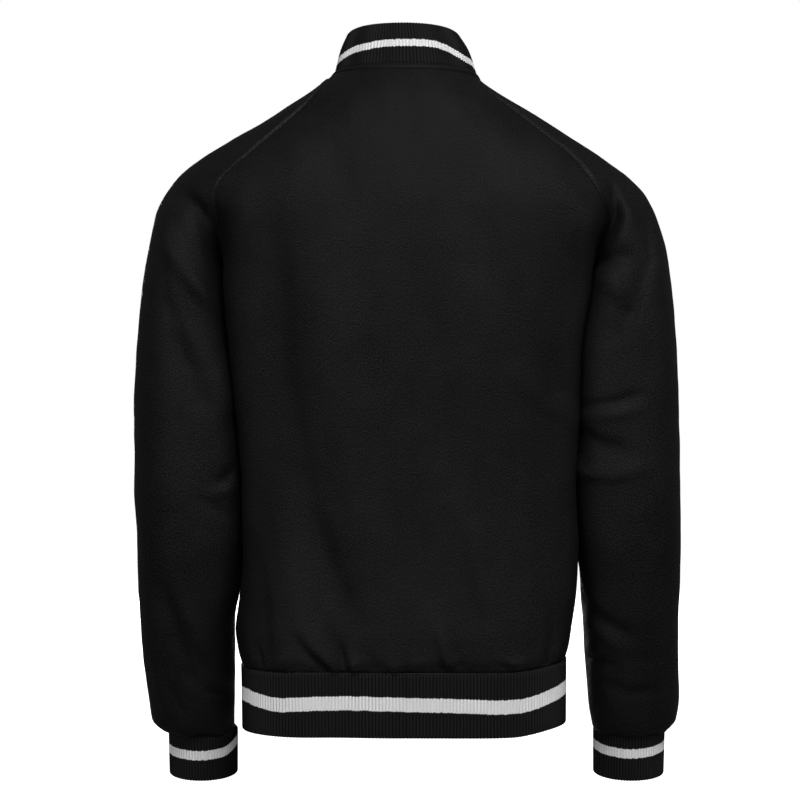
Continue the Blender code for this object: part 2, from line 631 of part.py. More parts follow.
def make_collar(loop):
    def base(turn):
        return neckline(turn)

    half_turn = math.pi - COLLAR_OPEN
    turn = even_turns(base, -half_turn, half_turn, 2 * COLLAR_RIBS)
    foot = base(turn)
    loop_turn = np.arctan2(loop[:, 0] / NECK_HALF, (loop[:, 1] - NECK_MID) / NECK_DEEP)
    order = np.argsort(loop_turn)
    foot[:, 2] = np.interp(turn, loop_turn[order], loop[order, 2]) + NECK_GAP
    backward = (1 + np.cos(turn)) / 2
    height = COLLAR_FRONT + (COLLAR_BACK - COLLAR_FRONT) * backward
    # Rows up the stand: share of the height, half width, depth, middle and lean to the left.
    stand = ((0.62, 0.0672, 0.0662, -0.0095, 0.0010), (1.00, 0.0590, 0.0590, -0.0110, 0.0025))
    rows = [foot]
    for share, half, deep, mid, lean in stand:
        x = lean + half * np.sin(turn)
        y = mid + deep * np.cos(turn)
        rows.append(np.stack([x, y, foot[:, 2] + height * share], axis=-1))
    base_rows = np.array(rows)
    rib_wall("collar", base_rows, flat_rim(normals(base_rows), UP), closed=False)


def make_hem_rib():
    """The band's right end lies under its left end at the centre front."""
    def level(z):
        return lambda turn: hem_wave(oval(BODY, turn, z))

    top = HEM_SEAM - SEAM_GAP
    lap = math.pi + math.asin((PLACKET / BODY["right"][-1]) ** (BODY["square"][-1] / 2))
    turn = even_turns(level(HEM_SEAM), -lap, lap, 2 * HEM_RIBS)
    rows = np.array([level(z)(turn) for z in (top, HEM_END)])
    out = flat_rim(normals(rows), UP)
    depth = RIB_WALL + RIB_RISE + SEAM_GAP
    start = PLACKET + 0.0015
    under = np.where(turn < 0, ease((rows[0, :, 0] + start + UNDERLAP_RUN) / UNDERLAP_RUN), 0)
    under = np.where(rows[0, :, 1] < 0, under, 0)
    rows = rows - out * (under * depth)[None, :, None]
    rib_wall("hem_rib", rows, out, closed=False)


def make_cuff(name, side):
    side_name = "left" if side > 0 else "right"
    inner, outer = SLEEVE["in_" + side_name][-1], SLEEVE["out_" + side_name][-1]
    centre = np.array([side * (inner + outer) / 2, SLEEVE["mid"][-1], SLEEVE["z"][-1]])
    half, deep = (outer - inner) / 2, SLEEVE["deep"][-1]
    behind = np.array([0.0, math.cos(CUFF_TILT), -math.sin(CUFF_TILT)]) / math.cos(CUFF_TILT)

    def ring(turn):
        return centre + half * np.cos(turn)[:, None] * UP[[2, 0, 0]] + deep * np.sin(turn)[:, None] * behind

    turn = even_turns(ring, 0, 2 * math.pi, 2 * CUFF_RIBS)
    top = ring(turn) - CUFF_AXIS * SEAM_GAP
    middle = top.mean(axis=0)
    low = middle + (top - middle) * 0.985 - CUFF_AXIS * CUFF_HEIGHT
    rows = np.array([top, low])
    rib_wall(name, rows, flat_rim(normals(rows), CUFF_AXIS), closed=True)


def make_snap(name, foot, out):
    """A low domed cap that stands on foot and faces out."""
    profile = ((SNAP_RADIUS, 0.0), (SNAP_RADIUS, 0.0014), (SNAP_RADIUS * 0.70, 0.0026))
    across = np.cross(out, UP)
    across /= np.linalg.norm(across)
    upward = np.cross(across, out)
    angle = np.arange(SNAP_SIDES) * 2 * math.pi / SNAP_SIDES
    round_about = np.cos(angle)[:, None] * across + np.sin(angle)[:, None] * upward
    points = np.concatenate([foot + round_about * radius + out * height for radius, height in profile])
    faces = [tuple(range(SNAP_SIDES)), tuple(range(2 * SNAP_SIDES, 3 * SNAP_SIDES))]
    for ring in range(2):
        for j in range(SNAP_SIDES):
            a, b = ring * SNAP_SIDES + j, ring * SNAP_SIDES + (j + 1) % SNAP_SIDES
            faces.append((a, b, b + SNAP_SIDES, a + SNAP_SIDES))
    add_object(name, points, faces, *BLACK_ENAMEL)


def make_snaps(panels):
    grid, out = panels["front_left"]["grid"], panels["front_left"]["out"]
    column, facing = grid[::-1, 1], out[::-1, 1]
    for number, z in enumerate(SNAP_HEIGHTS, start=1):
        foot = np.array([np.interp(z, column[:, 2], column[:, axis]) for axis in range(3)])
        face = np.array([np.interp(z, column[:, 2], facing[:, axis]) for axis in range(3)])
        face[0] = 0
        face /= np.linalg.norm(face)
        make_snap("snap_%d" % number, foot + face * SEAM_GAP, face)
    face = np.array([0.0, -1.0, 0.0])
    rib_front = oval(BODY, math.pi, SNAP_HEM)
    make_snap("snap_%d" % (len(SNAP_HEIGHTS) + 1), rib_front + face * (RIB_RISE + SEAM_GAP), face)


def main():
    for obj in list(bpy.data.objects):
        bpy.data.objects.remove(obj, do_unlink=True)
    panels = make_panels()
    loop = neck_loop(panels)
    make_neck_band(loop)
    make_collar(loop)
    make_hem_rib()
    make_cuff("cuff_left", 1)
    make_cuff("cuff_right", -1)
    make_snaps(panels)


main()
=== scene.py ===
"""Looks of a raglan varsity jacket, hollow and filled out as when it is worn, seen from behind.

Metres, +Z up, the front faces -Y and the wearer's left is +X. Every panel is a thin shell on the form
of its solid, with its folds, gathers and seams; the knit parts have every rib.
"""

import math

import bmesh
import bpy
import numpy as np
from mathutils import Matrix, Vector, noise


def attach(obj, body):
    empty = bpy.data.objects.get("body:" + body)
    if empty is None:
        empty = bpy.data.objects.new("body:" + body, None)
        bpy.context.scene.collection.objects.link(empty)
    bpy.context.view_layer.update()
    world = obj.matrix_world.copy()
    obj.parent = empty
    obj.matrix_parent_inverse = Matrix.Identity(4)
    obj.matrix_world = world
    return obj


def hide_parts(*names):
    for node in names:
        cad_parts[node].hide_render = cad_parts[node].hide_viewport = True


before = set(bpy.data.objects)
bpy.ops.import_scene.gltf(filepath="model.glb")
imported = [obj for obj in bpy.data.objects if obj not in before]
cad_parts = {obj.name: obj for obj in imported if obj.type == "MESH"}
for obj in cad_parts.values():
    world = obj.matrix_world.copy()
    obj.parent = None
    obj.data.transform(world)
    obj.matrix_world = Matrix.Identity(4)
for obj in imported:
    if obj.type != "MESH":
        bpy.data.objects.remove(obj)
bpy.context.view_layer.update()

# --- cloth and knit ---
CLOTH = 0.0020              # wall of the fleece-backed cloth
RIB_WALL = 0.0022           # wall of the knit between two ribs
RIB_RISE = 0.0010
SEAM_GAP = 0.0003
NECK_GAP = 0.0005
MM = 0.001

# --- driving sizes of the cut, as on the solids ---
NOTCH_TOP = -0.110
UNDERARM = -0.238
HEM_SEAM = -0.617
HEM_END = -0.682
CUFF_HEIGHT = 0.0465
HEM_RIDE = 0.0065
NECK_HALF = 0.0745
NECK_DEEP = 0.0700
NECK_MID = -0.008
NECK_BACK_TURN = {1: math.radians(80), -1: math.radians(65)}
NECK_FRONT_TURN = math.radians(113)
COLLAR_BACK = 0.0445
COLLAR_FRONT = 0.0370
COLLAR_OPEN = math.radians(1.2)
PLACKET = 0.014
UNDERLAP = CLOTH + 0.0005
UNDERLAP_RUN = 0.024
SLEEVE_CLEAR = 0.0004
HEM_RIBS = 280
COLLAR_RIBS = 124
CUFF_RIBS = 72
SNAP_RADIUS = 0.0075
SNAP_HEIGHTS = (-0.100, -0.198, -0.296, -0.394, -0.492, -0.590)
SNAP_HEM = -0.6495

# --- seams and sewing ---
SEAM_ROLL = 0.0009          # how far a panel's edge turns in at a seam
SEAM_ROLL_RUN = 0.0035
BAND_HALF = 0.0030          # half width of the stitched-down seam band on the raglan seams
BAND_UNDER = 0.0007         # how far the seam band reaches into the cloth
STITCH = 0.0030             # length of a stitch with its gap
THREAD = 0.00030            # radius of the sewing thread
TAPE_START = -0.0010        # neck tape, from just over the collar's foot
TAPE_END = 0.0066
TAPE_STEP = 0.0022          # between points along the tape
TAPE_FOOT = 0.0004          # how far it reaches in, and how high its edges stand
TAPE_CROWN = 0.0016         # how much higher its middle stands
CUFF_TUCK = 0.0035          # how far a cuff reaches up into its sleeve
FACING = 0.0060             # of the placket, past the lap

# --- how finely the shells are divided ---
WIDE_STEP = 0.0046          # between rows where folds are broad
FINE_STEP = 0.0023          # between rows of gathers
ARMHOLE_STEPS = 50
BACK_HALF_COLUMNS = 132
FRONT_COLUMNS = 88
SLEEVE_STEP = 0.0033
SLEEVE_HALF_COLUMNS = 66
RIB_SAMPLES = 6             # points across a rib
THREAD_SIDES = 6            # points round a stitch
NEAR_COLUMNS = 22           # columns of a panel that a seam band can lie over


def table(names, *rows):
    """Named columns, one row for each section, seam point or fold."""
    columns = np.array(rows, dtype=float).T
    return dict(zip(names.split(), columns))


YOKE = table(
    "z       left    right   back    front   square",
    (0.006, 0.0650, 0.0635, 0.0560, 0.0060, 2.00),
    (0.000, 0.0722, 0.0705, 0.0620, 0.0120, 2.00),
    (-0.008, 0.0835, 0.0775, 0.0685, 0.0250, 2.05),
    (-0.020, 0.0998, 0.0924, 0.0770, 0.0395, 2.10),
    (-0.032, 0.1170, 0.1120, 0.0850, 0.0515, 2.15),
    (-0.052, 0.1480, 0.1450, 0.0942, 0.0652, 2.20),
    (-0.074, 0.1865, 0.1800, 0.1028, 0.0790, 2.25),
    (-0.093, 0.2165, 0.2090, 0.1080, 0.0908, 2.30),
    (-0.113, 0.2400, 0.2350, 0.1122, 0.1015, 2.40),
    (-0.133, 0.2541, 0.2520, 0.1155, 0.1090, 2.50),
    (-0.154, 0.2625, 0.2615, 0.1175, 0.1150, 2.60),
    (-0.196, 0.2705, 0.2730, 0.1185, 0.1210, 2.70),
    (-0.238, 0.2768, 0.2780, 0.1180, 0.1230, 2.70))

BODY = table(
    "z       left    right   back    front   square",
    (-0.112, 0.2000, 0.2030, 0.1120, 0.1010, 2.50),
    (-0.149, 0.1950, 0.2070, 0.1170, 0.1140, 2.80),
    (-0.191, 0.1905, 0.1970, 0.1185, 0.1210, 3.00),
    (-0.238, 0.1868, 0.1880, 0.1180, 0.1230, 3.00),
    (-0.300, 0.1815, 0.1790, 0.1145, 0.1220, 3.00),
    (-0.360, 0.1752, 0.1775, 0.1100, 0.1180, 2.95),
    (-0.430, 0.1695, 0.1745, 0.1070, 0.1140, 2.95),
    (-0.500, 0.1690, 0.1785, 0.1075, 0.1120, 2.90),
    (-0.550, 0.1745, 0.1770, 0.1095, 0.1120, 2.90),
    (-0.580, 0.1780, 0.1735, 0.1105, 0.1120, 3.00),
    (-0.603, 0.1745, 0.1695, 0.1100, 0.1110, 3.15),
    (-0.617, 0.1708, 0.1660, 0.1065, 0.1070, 3.30),
    (-0.682, 0.1697, 0.1655, 0.1060, 0.1060, 3.30))

SLEEVE = table(
    "z      in_left out_left in_right out_right mid    deep   square tilt",
    (-0.112, 0.1920, 0.2405, 0.1900, 0.2352, 0.0000, 0.0720, 2.2, 0),
    (-0.149, 0.1920, 0.2610, 0.2000, 0.2585, 0.0000, 0.0800, 2.3, 0),
    (-0.191, 0.1900, 0.2695, 0.1970, 0.2720, 0.0000, 0.0830, 2.3, 0),
    (-0.238, 0.1870, 0.2768, 0.1870, 0.2780, 0.0000, 0.0830, 2.3, 0),
    (-0.300, 0.1800, 0.2818, 0.1770, 0.2830, 0.0020, 0.0790, 2.3, 0),
    (-0.360, 0.1740, 0.2840, 0.1760, 0.2850, 0.0040, 0.0740, 2.3, 0),
    (-0.430, 0.1680, 0.2835, 0.1740, 0.2865, 0.0040, 0.0690, 2.3, 1),
    (-0.480, 0.1690, 0.2820, 0.1770, 0.2875, 0.0000, 0.0655, 2.3, 2),
    (-0.530, 0.1728, 0.2810, 0.1830, 0.2878, -0.0080, 0.0610, 2.3, 4),
    (-0.580, 0.1812, 0.2798, 0.1870, 0.2872, -0.0170, 0.0570, 2.3, 5),
    (-0.630, 0.1815, 0.2762, 0.1915, 0.2892, -0.0270, 0.0530, 2.3, 6),
    (-0.662, 0.1825, 0.2722, 0.1940, 0.2900, -0.0335, 0.0500, 2.2, 7),
    (-0.681, 0.1830, 0.2700, 0.1970, 0.2880, -0.0375, 0.0465, 2.1, 7),
    (-0.690, 0.1830, 0.2620, 0.1990, 0.2815, -0.0395, 0.0420, 2.0, 7),
    (-0.694, 0.1805, 0.2525, 0.2010, 0.2755, -0.0405, 0.0365, 2.0, 7))

ARMHOLE = table(
    "z_back  left    right   z_front left_front right_front z_middle",
    (-0.022, 0.0896, 0.0815, -0.036, 0.0880, 0.0860, -0.086),
    (-0.045, 0.1085, 0.1101, -0.055, 0.1100, 0.1080, -0.098),
    (-0.070, 0.1348, 0.1403, -0.077, 0.1330, 0.1310, -0.111),
    (-0.095, 0.1622, 0.1700, -0.100, 0.1530, 0.1520, -0.126),
    (-0.120, 0.1884, 0.1887, -0.123, 0.1690, 0.1690, -0.142),
    (-0.140, 0.1965, 0.1994, -0.142, 0.1790, 0.1820, -0.157),
    (-0.160, 0.1925, 0.2060, -0.161, 0.1840, 0.1920, -0.172),
    (-0.185, 0.1905, 0.1985, -0.186, 0.1860, 0.1940, -0.191),
    (-0.210, 0.1885, 0.1930, -0.211, 0.1875, 0.1925, -0.213),
    (-0.238, 0.1868, 0.1880, -0.238, 0.1868, 0.1880, -0.238))

HEM_WAVES = table(
    "x      width  rise",
    (0.120, 0.030, 0.0030),
    (0.066, 0.036, -0.0045),
    (-0.010, 0.040, -0.0010),
    (-0.096, 0.034, 0.0030))

# How far the cloth swells out beside the arms, in millimetres, on the back and behind each arm.
SWELL = table(
    "z      body_left body_right arm_left arm_right",
    (-0.660, 0.0, 0.0, 0.0, 0.0),
    (-0.600, 0.0, 0.0, 2.0, 2.0),
    (-0.540, 3.0, 3.0, 5.0, 5.0),
    (-0.440, 7.0, 7.0, 6.0, 6.0),
    (-0.340, 8.0, 8.0, 7.0, 8.0),
    (-0.250, 8.0, 8.0, 3.0, 8.0),
    (-0.170, 7.5, 8.0, 2.0, 7.0),
    (-0.140, 3.5, 4.0, 0.5, 4.0),
    (-0.115, 0.0, 0.0, 0.0, 0.0))

# Where the white stripes leave a level line: millimetres farther from the band's folded edge.
COLLAR_STRIPE = table(
    "turn  farther",
    (-180, 2.0),
    (-100, 10.0),
    (-62, 11.0),
    (-46, 7.0),
    (-33, 2.6),
    (-20, 0.2),
    (0, 0.0),
    (20, 0.6),
    (38, 2.1),
    (55, 4.0),
    (75, 6.5),
    (110, 6.0),
    (180, 2.0))
HEM_STRIPE = table(
    "x       farther",
    (-0.163, 3.5),
    (-0.148, 0.0),
    (-0.126, -2.5),
    (-0.100, -3.0),
    (-0.075, -2.4),
    (-0.045, -1.2),
    (0.000, -0.3),
    (0.050, 0.8),
    (0.100, 0.0),
    (0.131, -2.0),
    (0.147, 0.0),
    (0.163, 3.5))
CUFF_STRIPE = table(
    "across left right",
    (-1.0, 9.0, 4.4),
    (-0.7, 2.0, 3.2),
    (0.0, 0.0, 2.0),
    (0.7, 0.3, 3.2),
    (1.0, 0.5, 4.6))

# Folds and creases, in millimetres: a run through three points, seen from behind (x towards the
# wearer's left), its width at the top and at the low end, and how far it stands out (+) or sinks in (-).
FOLD_COLUMNS = "x0 z0 x1 z1 x2 z2 width0 width2 rise"
BACK_FOLDS = table(
    FOLD_COLUMNS,
    (139, -156, 132, -230, 129, -290, 20, 22, -4.4),
    (129, -290, 112, -400, 86, -530, 22, 24, -4.6),
    (84, -210, 62, -340, 40, -470, 34, 32, 4.0),
    (-21, -210, -28, -320, -37, -425, 20, 24, -4.4),
    (-74, -236, -104, -340, -127, -423, 20, 22, 4.4),
    (-146, -300, -150, -330, -156, -342, 13, 15, -4.2),
    (-112, -322, -140, -346, -164, -360, 12, 14, 2.6),
    (78, -86, 66, -112, 54, -142, 12, 14, -1.2),
    (-80, -96, -66, -122, -50, -150, 14, 14, -1.0),
    (92, -470, 74, -520, 58, -560, 16, 18, -3.6),
    (-30, -450, -44, -500, -62, -560, 24, 22, -3.8),
    (-68, -480, -74, -520, -78, -545, 12, 12, 2.0),
    (150, -500, 142, -560, 138, -606, 8, 6, -1.4))
BACK_GATHERS = table(
    FOLD_COLUMNS,
    (111, -560, 92, -592, 72, -612, 11, 6, 4.4),
    (112, -582, 96, -600, 81, -612, 4.5, 3.2, -2.4),
    (84, -560, 72, -586, 64, -603, 9, 5, -2.6),
    (65, -583, 64, -596, 63, -610, 3.6, 2.6, -2.0),
    (56, -602, 54, -607, 52, -612, 6, 6, 4.4),
    (38, -596, 33, -604, 30, -611, 4, 3, -1.6),
    (13, -603, 12, -608, 11, -613, 7, 6.5, 4.8),
    (2, -600, 0, -606, -1, -612, 2.6, 2.4, -2.6),
    (-6, -600, -7, -606, -8, -611, 6.5, 6, 4.8),
    (-17, -570, -18, -592, -19, -612, 3.4, 2.6, -2.4),
    (-25, -552, -34, -582, -41, -606, 8, 6, 3.6),
    (-47, -578, -51, -594, -54, -608, 6, 4, -2.2),
    (-31, -600, -33, -606, -36, -612, 2.6, 2.2, -2.0),
    (-97, -606, -105, -609, -113, -611, 6, 6, 3.6),
    (-90, -606, -100, -610, -112, -611, 2.4, 2.2, -1.8),
    (-148, -560, -147, -590, -143, -610, 5, 4, -2.4),
    (-158, -580, -156, -596, -152, -608, 5, 4, 1.8),
    (150, -592, 148, -602, 146, -611, 3, 2.4, -2.4),
    (122, -596, 126, -604, 130, -611, 5, 4, 1.8),
    (162, -570, 160, -592, 157, -610, 6, 4, 2.0))
FRONT_FOLDS = table(
    FOLD_COLUMNS,
    (122, -190, 108, -300, 96, -430, 24, 26, -3.2),
    (70, -240, 64, -380, 60, -520, 28, 30, 2.6),
    (150, -300, 140, -330, 128, -352, 11, 13, 2.6),
    (40, -150, 48, -220, 52, -290, 20, 22, -1.8),
    (-118, -200, -104, -300, -90, -400, 24, 26, -3.2),
    (-66, -280, -72, -400, -75, -530, 28, 30, 2.6),
    (-148, -290, -138, -316, -122, -342, 11, 13, 2.4),
    (-44, -160, -50, -230, -50, -300, 20, 22, -1.6),
    (100, -470, 108, -530, 112, -590, 14, 14, -2.4),
    (-108, -480, -112, -540, -110, -590, 14, 14, -2.2))
FRONT_GATHERS = table(
    FOLD_COLUMNS,
    (148, -566, 140, -592, 134, -610, 8, 5, 3.2),
    (136, -584, 130, -598, 126, -612, 4, 3, -3.0),
    (108, -560, 104, -588, 98, -609, 8, 6, 3.4),
    (92, -586, 89, -600, 87, -612, 3.6, 2.6, -2.8),
    (74, -592, 72, -602, 70, -611, 6, 5, 2.4),
    (50, -574, 47, -596, 45, -612, 4, 2.8, -2.6),
    (36, -588, 34, -600, 33, -610, 6, 5, 2.2),
    (-34, -590, -36, -602, -37, -611, 6, 5, 2.4),
    (-48, -578, -50, -598, -51, -612, 4, 2.8, -2.8),
    (-66, -562, -68, -590, -70, -609, 9, 6, 3.4),
    (-84, -590, -86, -602, -88, -612, 3.6, 2.6, -2.6),
    (-104, -570, -108, -592, -112, -610, 8, 5, 3.0),
    (-122, -582, -126, -598, -130, -612, 4, 3, -3.0),
    (-146, -572, -148, -594, -150, -610, 7, 5, 2.6))
LEFT_SLEEVE_BEHIND = table(
    FOLD_COLUMNS,
    (231, -131, 212, -149, 196, -162, 11, 9, -7.0),
    (247, -174, 231, -204, 207, -236, 13, 8.5, 4.8),
    (219, -223, 209, -239, 200, -253, 6, 6, 4.2),
    (252, -196, 247, -240, 230, -278, 11, 10, -2.6),
    (234, -282, 218, -316, 206, -350, 9, 10, -4.0),
    (218, -274, 200, -312, 189, -352, 9, 10, 4.2),
    (182, -414, 186, -424, 192, -430, 5, 6, -4.0),
    (184, -430, 188, -433, 194, -436, 7, 7, 3.0),
    (207, -443, 196, -452, 184, -462, 5, 5, -1.5),
    (226, -560, 216, -586, 205, -612, 10, 8, 3.4),
    (250, -538, 238, -580, 226, -628, 9, 10, -4.0),
    (226, -628, 210, -646, 188, -654, 7, 5, -2.6),
    (238, -604, 232, -628, 222, -648, 7, 6, 1.6),
    (214, -640, 206, -652, 196, -662, 4, 4, 1.8),
    (244, -640, 238, -658, 230, -672, 6, 4, -1.8),
    (262, -610, 258, -640, 252, -668, 8, 6, 1.6))
RIGHT_SLEEVE_BEHIND = table(
    FOLD_COLUMNS,
    (-211, -123, -213, -140, -213, -160, 5, 7, -4.5),
    (-215, -128, -223, -138, -230, -148, 8, 11, -3.4),
    (-222, -152, -230, -170, -230, -186, 13, 14, 3.0),
    (-202, -200, -214, -200, -226, -196, 4.5, 8, -4.2),
    (-203, -216, -212, -226, -222, -240, 9, 11, 3.6),
    (-246, -150, -248, -198, -230, -250, 9, 11, -4.6),
    (-230, -250, -220, -270, -210, -282, 11, 10, -3.0),
    (-186, -350, -210, -346, -236, -338, 6, 7, -3.4),
    (-186, -358, -208, -358, -234, -352, 7, 8, 1.8),
    (-182, -374, -200, -388, -220, -396, 9, 11, -4.0),
    (-174, -406, -182, -414, -192, -420, 6, 7, 4.2),
    (-194, -420, -214, -420, -244, -412, 7, 9, 2.0),
    (-186, -552, -206, -572, -228, -586, 7, 9, -3.4),
    (-188, -572, -204, -584, -222, -600, 8, 9, 2.2),
    (-186, -610, -198, -614, -212, -618, 5, 6, -2.4),
    (-214, -640, -234, -648, -256, -644, 6, 6, -1.8),
    (-204, -640, -210, -656, -216, -668, 4, 4, 1.6),
    (-250, -560, -256, -600, -256, -640, 9, 9, 1.6))
LEFT_SLEEVE_BEFORE = table(
    FOLD_COLUMNS,
    (234, -150, 214, -178, 196, -206, 12, 10, -5.0),
    (228, -190, 212, -214, 198, -238, 10, 8, 4.2),
    (262, -240, 248, -290, 226, -330, 12, 14, -2.8),
    (182, -416, 212, -424, 244, -436, 9, 10, -5.6),
    (184, -444, 206, -454, 234, -470, 9, 10, 3.6),
    (190, -476, 208, -484, 230, -500, 7, 8, -3.0),
    (196, -380, 214, -392, 236, -400, 8, 9, 2.8),
    (226, -560, 220, -590, 208, -622, 9, 8, 3.0),
    (246, -600, 238, -628, 226, -656, 7, 6, -2.8),
    (208, -632, 204, -650, 200, -668, 5, 4, -2.2))
RIGHT_SLEEVE_BEFORE = table(
    FOLD_COLUMNS,
    (-232, -150, -214, -178, -200, -206, 12, 10, -5.0),
    (-226, -196, -214, -218, -200, -240, 10, 8, 4.0),
    (-258, -250, -246, -300, -228, -344, 12, 14, -2.8),
    (-186, -410, -214, -420, -246, -430, 9, 10, -5.4),
    (-190, -438, -210, -450, -240, -462, 9, 10, 3.6),
    (-196, -482, -214, -492, -238, -500, 7, 8, -2.8),
    (-196, -372, -216, -386, -240, -394, 8, 9, 2.8),
    (-216, -570, -222, -600, -232, -630, 9, 8, 3.0),
    (-250, -606, -244, -634, -236, -660, 7, 6, -2.8),
    (-212, -636, -216, -652, -220, -668, 5, 4, -2.2))

# Gathers above a cuff: their place round the arm in degrees (0 outermost, 90 behind), then millimetres.
CUFF_GATHERS_LEFT = table(
    "turn length width rise",
    (-160, 20, 4.0, -1.6),
    (-124, 26, 5.0, 1.8),
    (-96, 18, 3.6, -1.8),
    (-58, 24, 5.0, 1.6),
    (-30, 16, 3.6, -1.4),
    (14, 20, 4.5, 1.2),
    (46, 15, 3.4, -1.5),
    (72, 22, 5.0, 1.5),
    (101, 17, 3.6, -1.9),
    (128, 24, 5.2, 1.8),
    (157, 16, 3.6, -1.5))
CUFF_GATHERS_RIGHT = table(
    "turn length width rise",
    (-171, 18, 4.0, -1.4),
    (-133, 24, 5.0, 1.7),
    (-105, 16, 3.6, -1.7),
    (-66, 26, 5.2, 1.8),
    (-22, 18, 4.0, -1.5),
    (9, 15, 4.0, 1.1),
    (38, 22, 4.6, 1.6),
    (63, 16, 3.4, -1.9),
    (88, 20, 4.6, 1.7),
    (117, 15, 3.6, -1.6),
    (146, 23, 5.0, 1.8))
SLEEVE_FOLDS = {1: (LEFT_SLEEVE_BEHIND, LEFT_SLEEVE_BEFORE, CUFF_GATHERS_LEFT),
                -1: (RIGHT_SLEEVE_BEHIND, RIGHT_SLEEVE_BEFORE, CUFF_GATHERS_RIGHT)}
CUFF_ROUND = 0.25           # round the arm just above a cuff
SIDES = (("left", 1), ("right", -1))


# ---------------------------------------------------------------- form

def follow(keys, values, at):
    """A value on a smooth curve through a table's column that never overshoots it."""
    at = np.clip(at, keys[0], keys[-1])
    step = np.diff(keys)
    rise = np.diff(values) / step
    slope = np.concatenate([rise[:1], np.zeros(len(rise) - 1), rise[-1:]])
    product = rise[:-1] * rise[1:]
    same_way = product > 0
    slope[1:-1][same_way] = 2 * product[same_way] / (rise[:-1] + rise[1:])[same_way]
    i = np.clip(np.searchsorted(keys, at) - 1, 0, len(step) - 1)
    t = (at - keys[i]) / step[i]
    return (values[i] * (1 + 2 * t) * (1 - t) ** 2 + values[i + 1] * t * t * (3 - 2 * t)
            + step[i] * (slope[i] * t * (1 - t) ** 2 - slope[i + 1] * t * t * (1 - t)))


def read(sections, column, z):
    return follow(sections["z"][::-1], sections[column][::-1], z)


def seam_value(column, row):
    """A column of the raglan seams between its rows, which count from 1."""
    return follow(np.arange(1.0, len(ARMHOLE[column]) + 1), ARMHOLE[column], row)


def signed_power(value, power):
    return np.sign(value) * np.abs(value) ** power


def ease(t):
    t = np.clip(t, 0.0, 1.0)
    return t * t * (3 - 2 * t)


def mix(a, b, share):
    return a + (b - a) * share


def half_sizes(sections, x, y, z):
    """Half width and half depth of level sections, on the side and face that x and y lie on."""
    half = np.where(x >= 0, read(sections, "left", z), read(sections, "right", z))
    deep = np.where(y >= 0, read(sections, "back", z), read(sections, "front", z))
    return half, deep


def oval(sections, turn, z):
    """Points of level sections. turn is 0 at the centre back and grows towards the wearer's left."""
    turn, z = np.broadcast_arrays(turn, z)
    sine, cosine = np.sin(turn), np.cos(turn)
    half, deep = half_sizes(sections, sine, cosine, z)
    power = 2 / read(sections, "square", z)
    return np.stack([half * signed_power(sine, power), deep * signed_power(cosine, power), z], axis=-1)


def oval_turn(sections, x, z, side, front):
    """Turn at which a section is x away from the middle, on the back or the front."""
    x = np.asarray(x, dtype=float)
    half = np.where(x >= 0, read(sections, "left", z), read(sections, "right", z))
    turn = np.arcsin(np.minimum(np.abs(x) / half, 1) ** (read(sections, "square", z) / 2))
    if not front:
        return side * turn
    return side * np.where(x * side >= 0, math.pi - turn, math.pi + turn)


def on_yoke(x, y):
    """Height of the shoulders over a point of the plan."""
    low, high = np.full_like(x, -0.13), np.full_like(x, 0.006)
    for _ in range(30):
        z = (low + high) / 2
        half, deep = half_sizes(YOKE, x, y, z)
        square = read(YOKE, "square", z)
        outside = np.abs(x / half) ** square + np.abs(y / deep) ** square > 1
        high = np.where(outside, z, high)
        low = np.where(outside, low, z)
    return low


def neckline(turn):
    x = NECK_HALF * np.sin(turn)
    y = NECK_MID + NECK_DEEP * np.cos(turn)
    return np.stack([x, y, on_yoke(x, y)], axis=-1)


def yoke_turn(points):
    """Turn of points that lie on the shoulders."""
    x, y, z = points[..., 0], points[..., 1], points[..., 2]
    half, deep = half_sizes(YOKE, x, y, z)
    power = read(YOKE, "square", z) / 2
    return np.arctan2(signed_power(x / half, power), signed_power(y / deep, power))


def parted(z):
    """0 where body and sleeve are one shoulder, 1 at the underarm."""
    return ease((NOTCH_TOP - z) / (NOTCH_TOP - UNDERARM))


def torso(turn_on_yoke, turn_on_body, z):
    share = parted(z)[..., None]
    return (1 - share) * oval(YOKE, turn_on_yoke, z) + share * oval(BODY, turn_on_body, z)


def body_edge(side, y, z):
    """Half width of the body at a depth y."""
    half = read(BODY, "left" if side > 0 else "right", z)
    deep = np.where(y >= 0, read(BODY, "back", z), read(BODY, "front", z))
    square = read(BODY, "square", z)
    return half * np.maximum(1 - np.minimum(np.abs(y) / deep, 1) ** square, 0) ** (1 / square)


def beside_body(points, side):
    """Moves sleeve points out of the body, to lie just clear of it."""
    x, y, z = points[..., 0] * side, points[..., 1], points[..., 2]
    away = np.maximum(ease((UNDERARM - z) / 0.03), ease(np.abs(y) / 0.018))
    clear = SEAM_GAP + (SLEEVE_CLEAR - SEAM_GAP) * away
    out = np.maximum(x, body_edge(side, y, z) + clear)
    return np.stack([out * side, y, z], axis=-1)


def sleeve_ring(side, turn, z):
    """Points of a sleeve's own rings. turn is 0 outermost, positive behind, and pi by the body."""
    name = "left" if side > 0 else "right"
    inner, outer = read(SLEEVE, "in_" + name, z), read(SLEEVE, "out_" + name, z)
    mid, deep = read(SLEEVE, "mid", z), read(SLEEVE, "deep", z)
    power = 2 / read(SLEEVE, "square", z)
    x = (inner + outer) / 2 + (outer - inner) / 2 * signed_power(np.cos(turn), power)
    behind = deep * signed_power(np.sin(turn), power)
    level = z - behind * np.tan(np.radians(read(SLEEVE, "tilt", z)))
    return beside_body(np.stack([x * side, mid + behind, level], axis=-1), side)


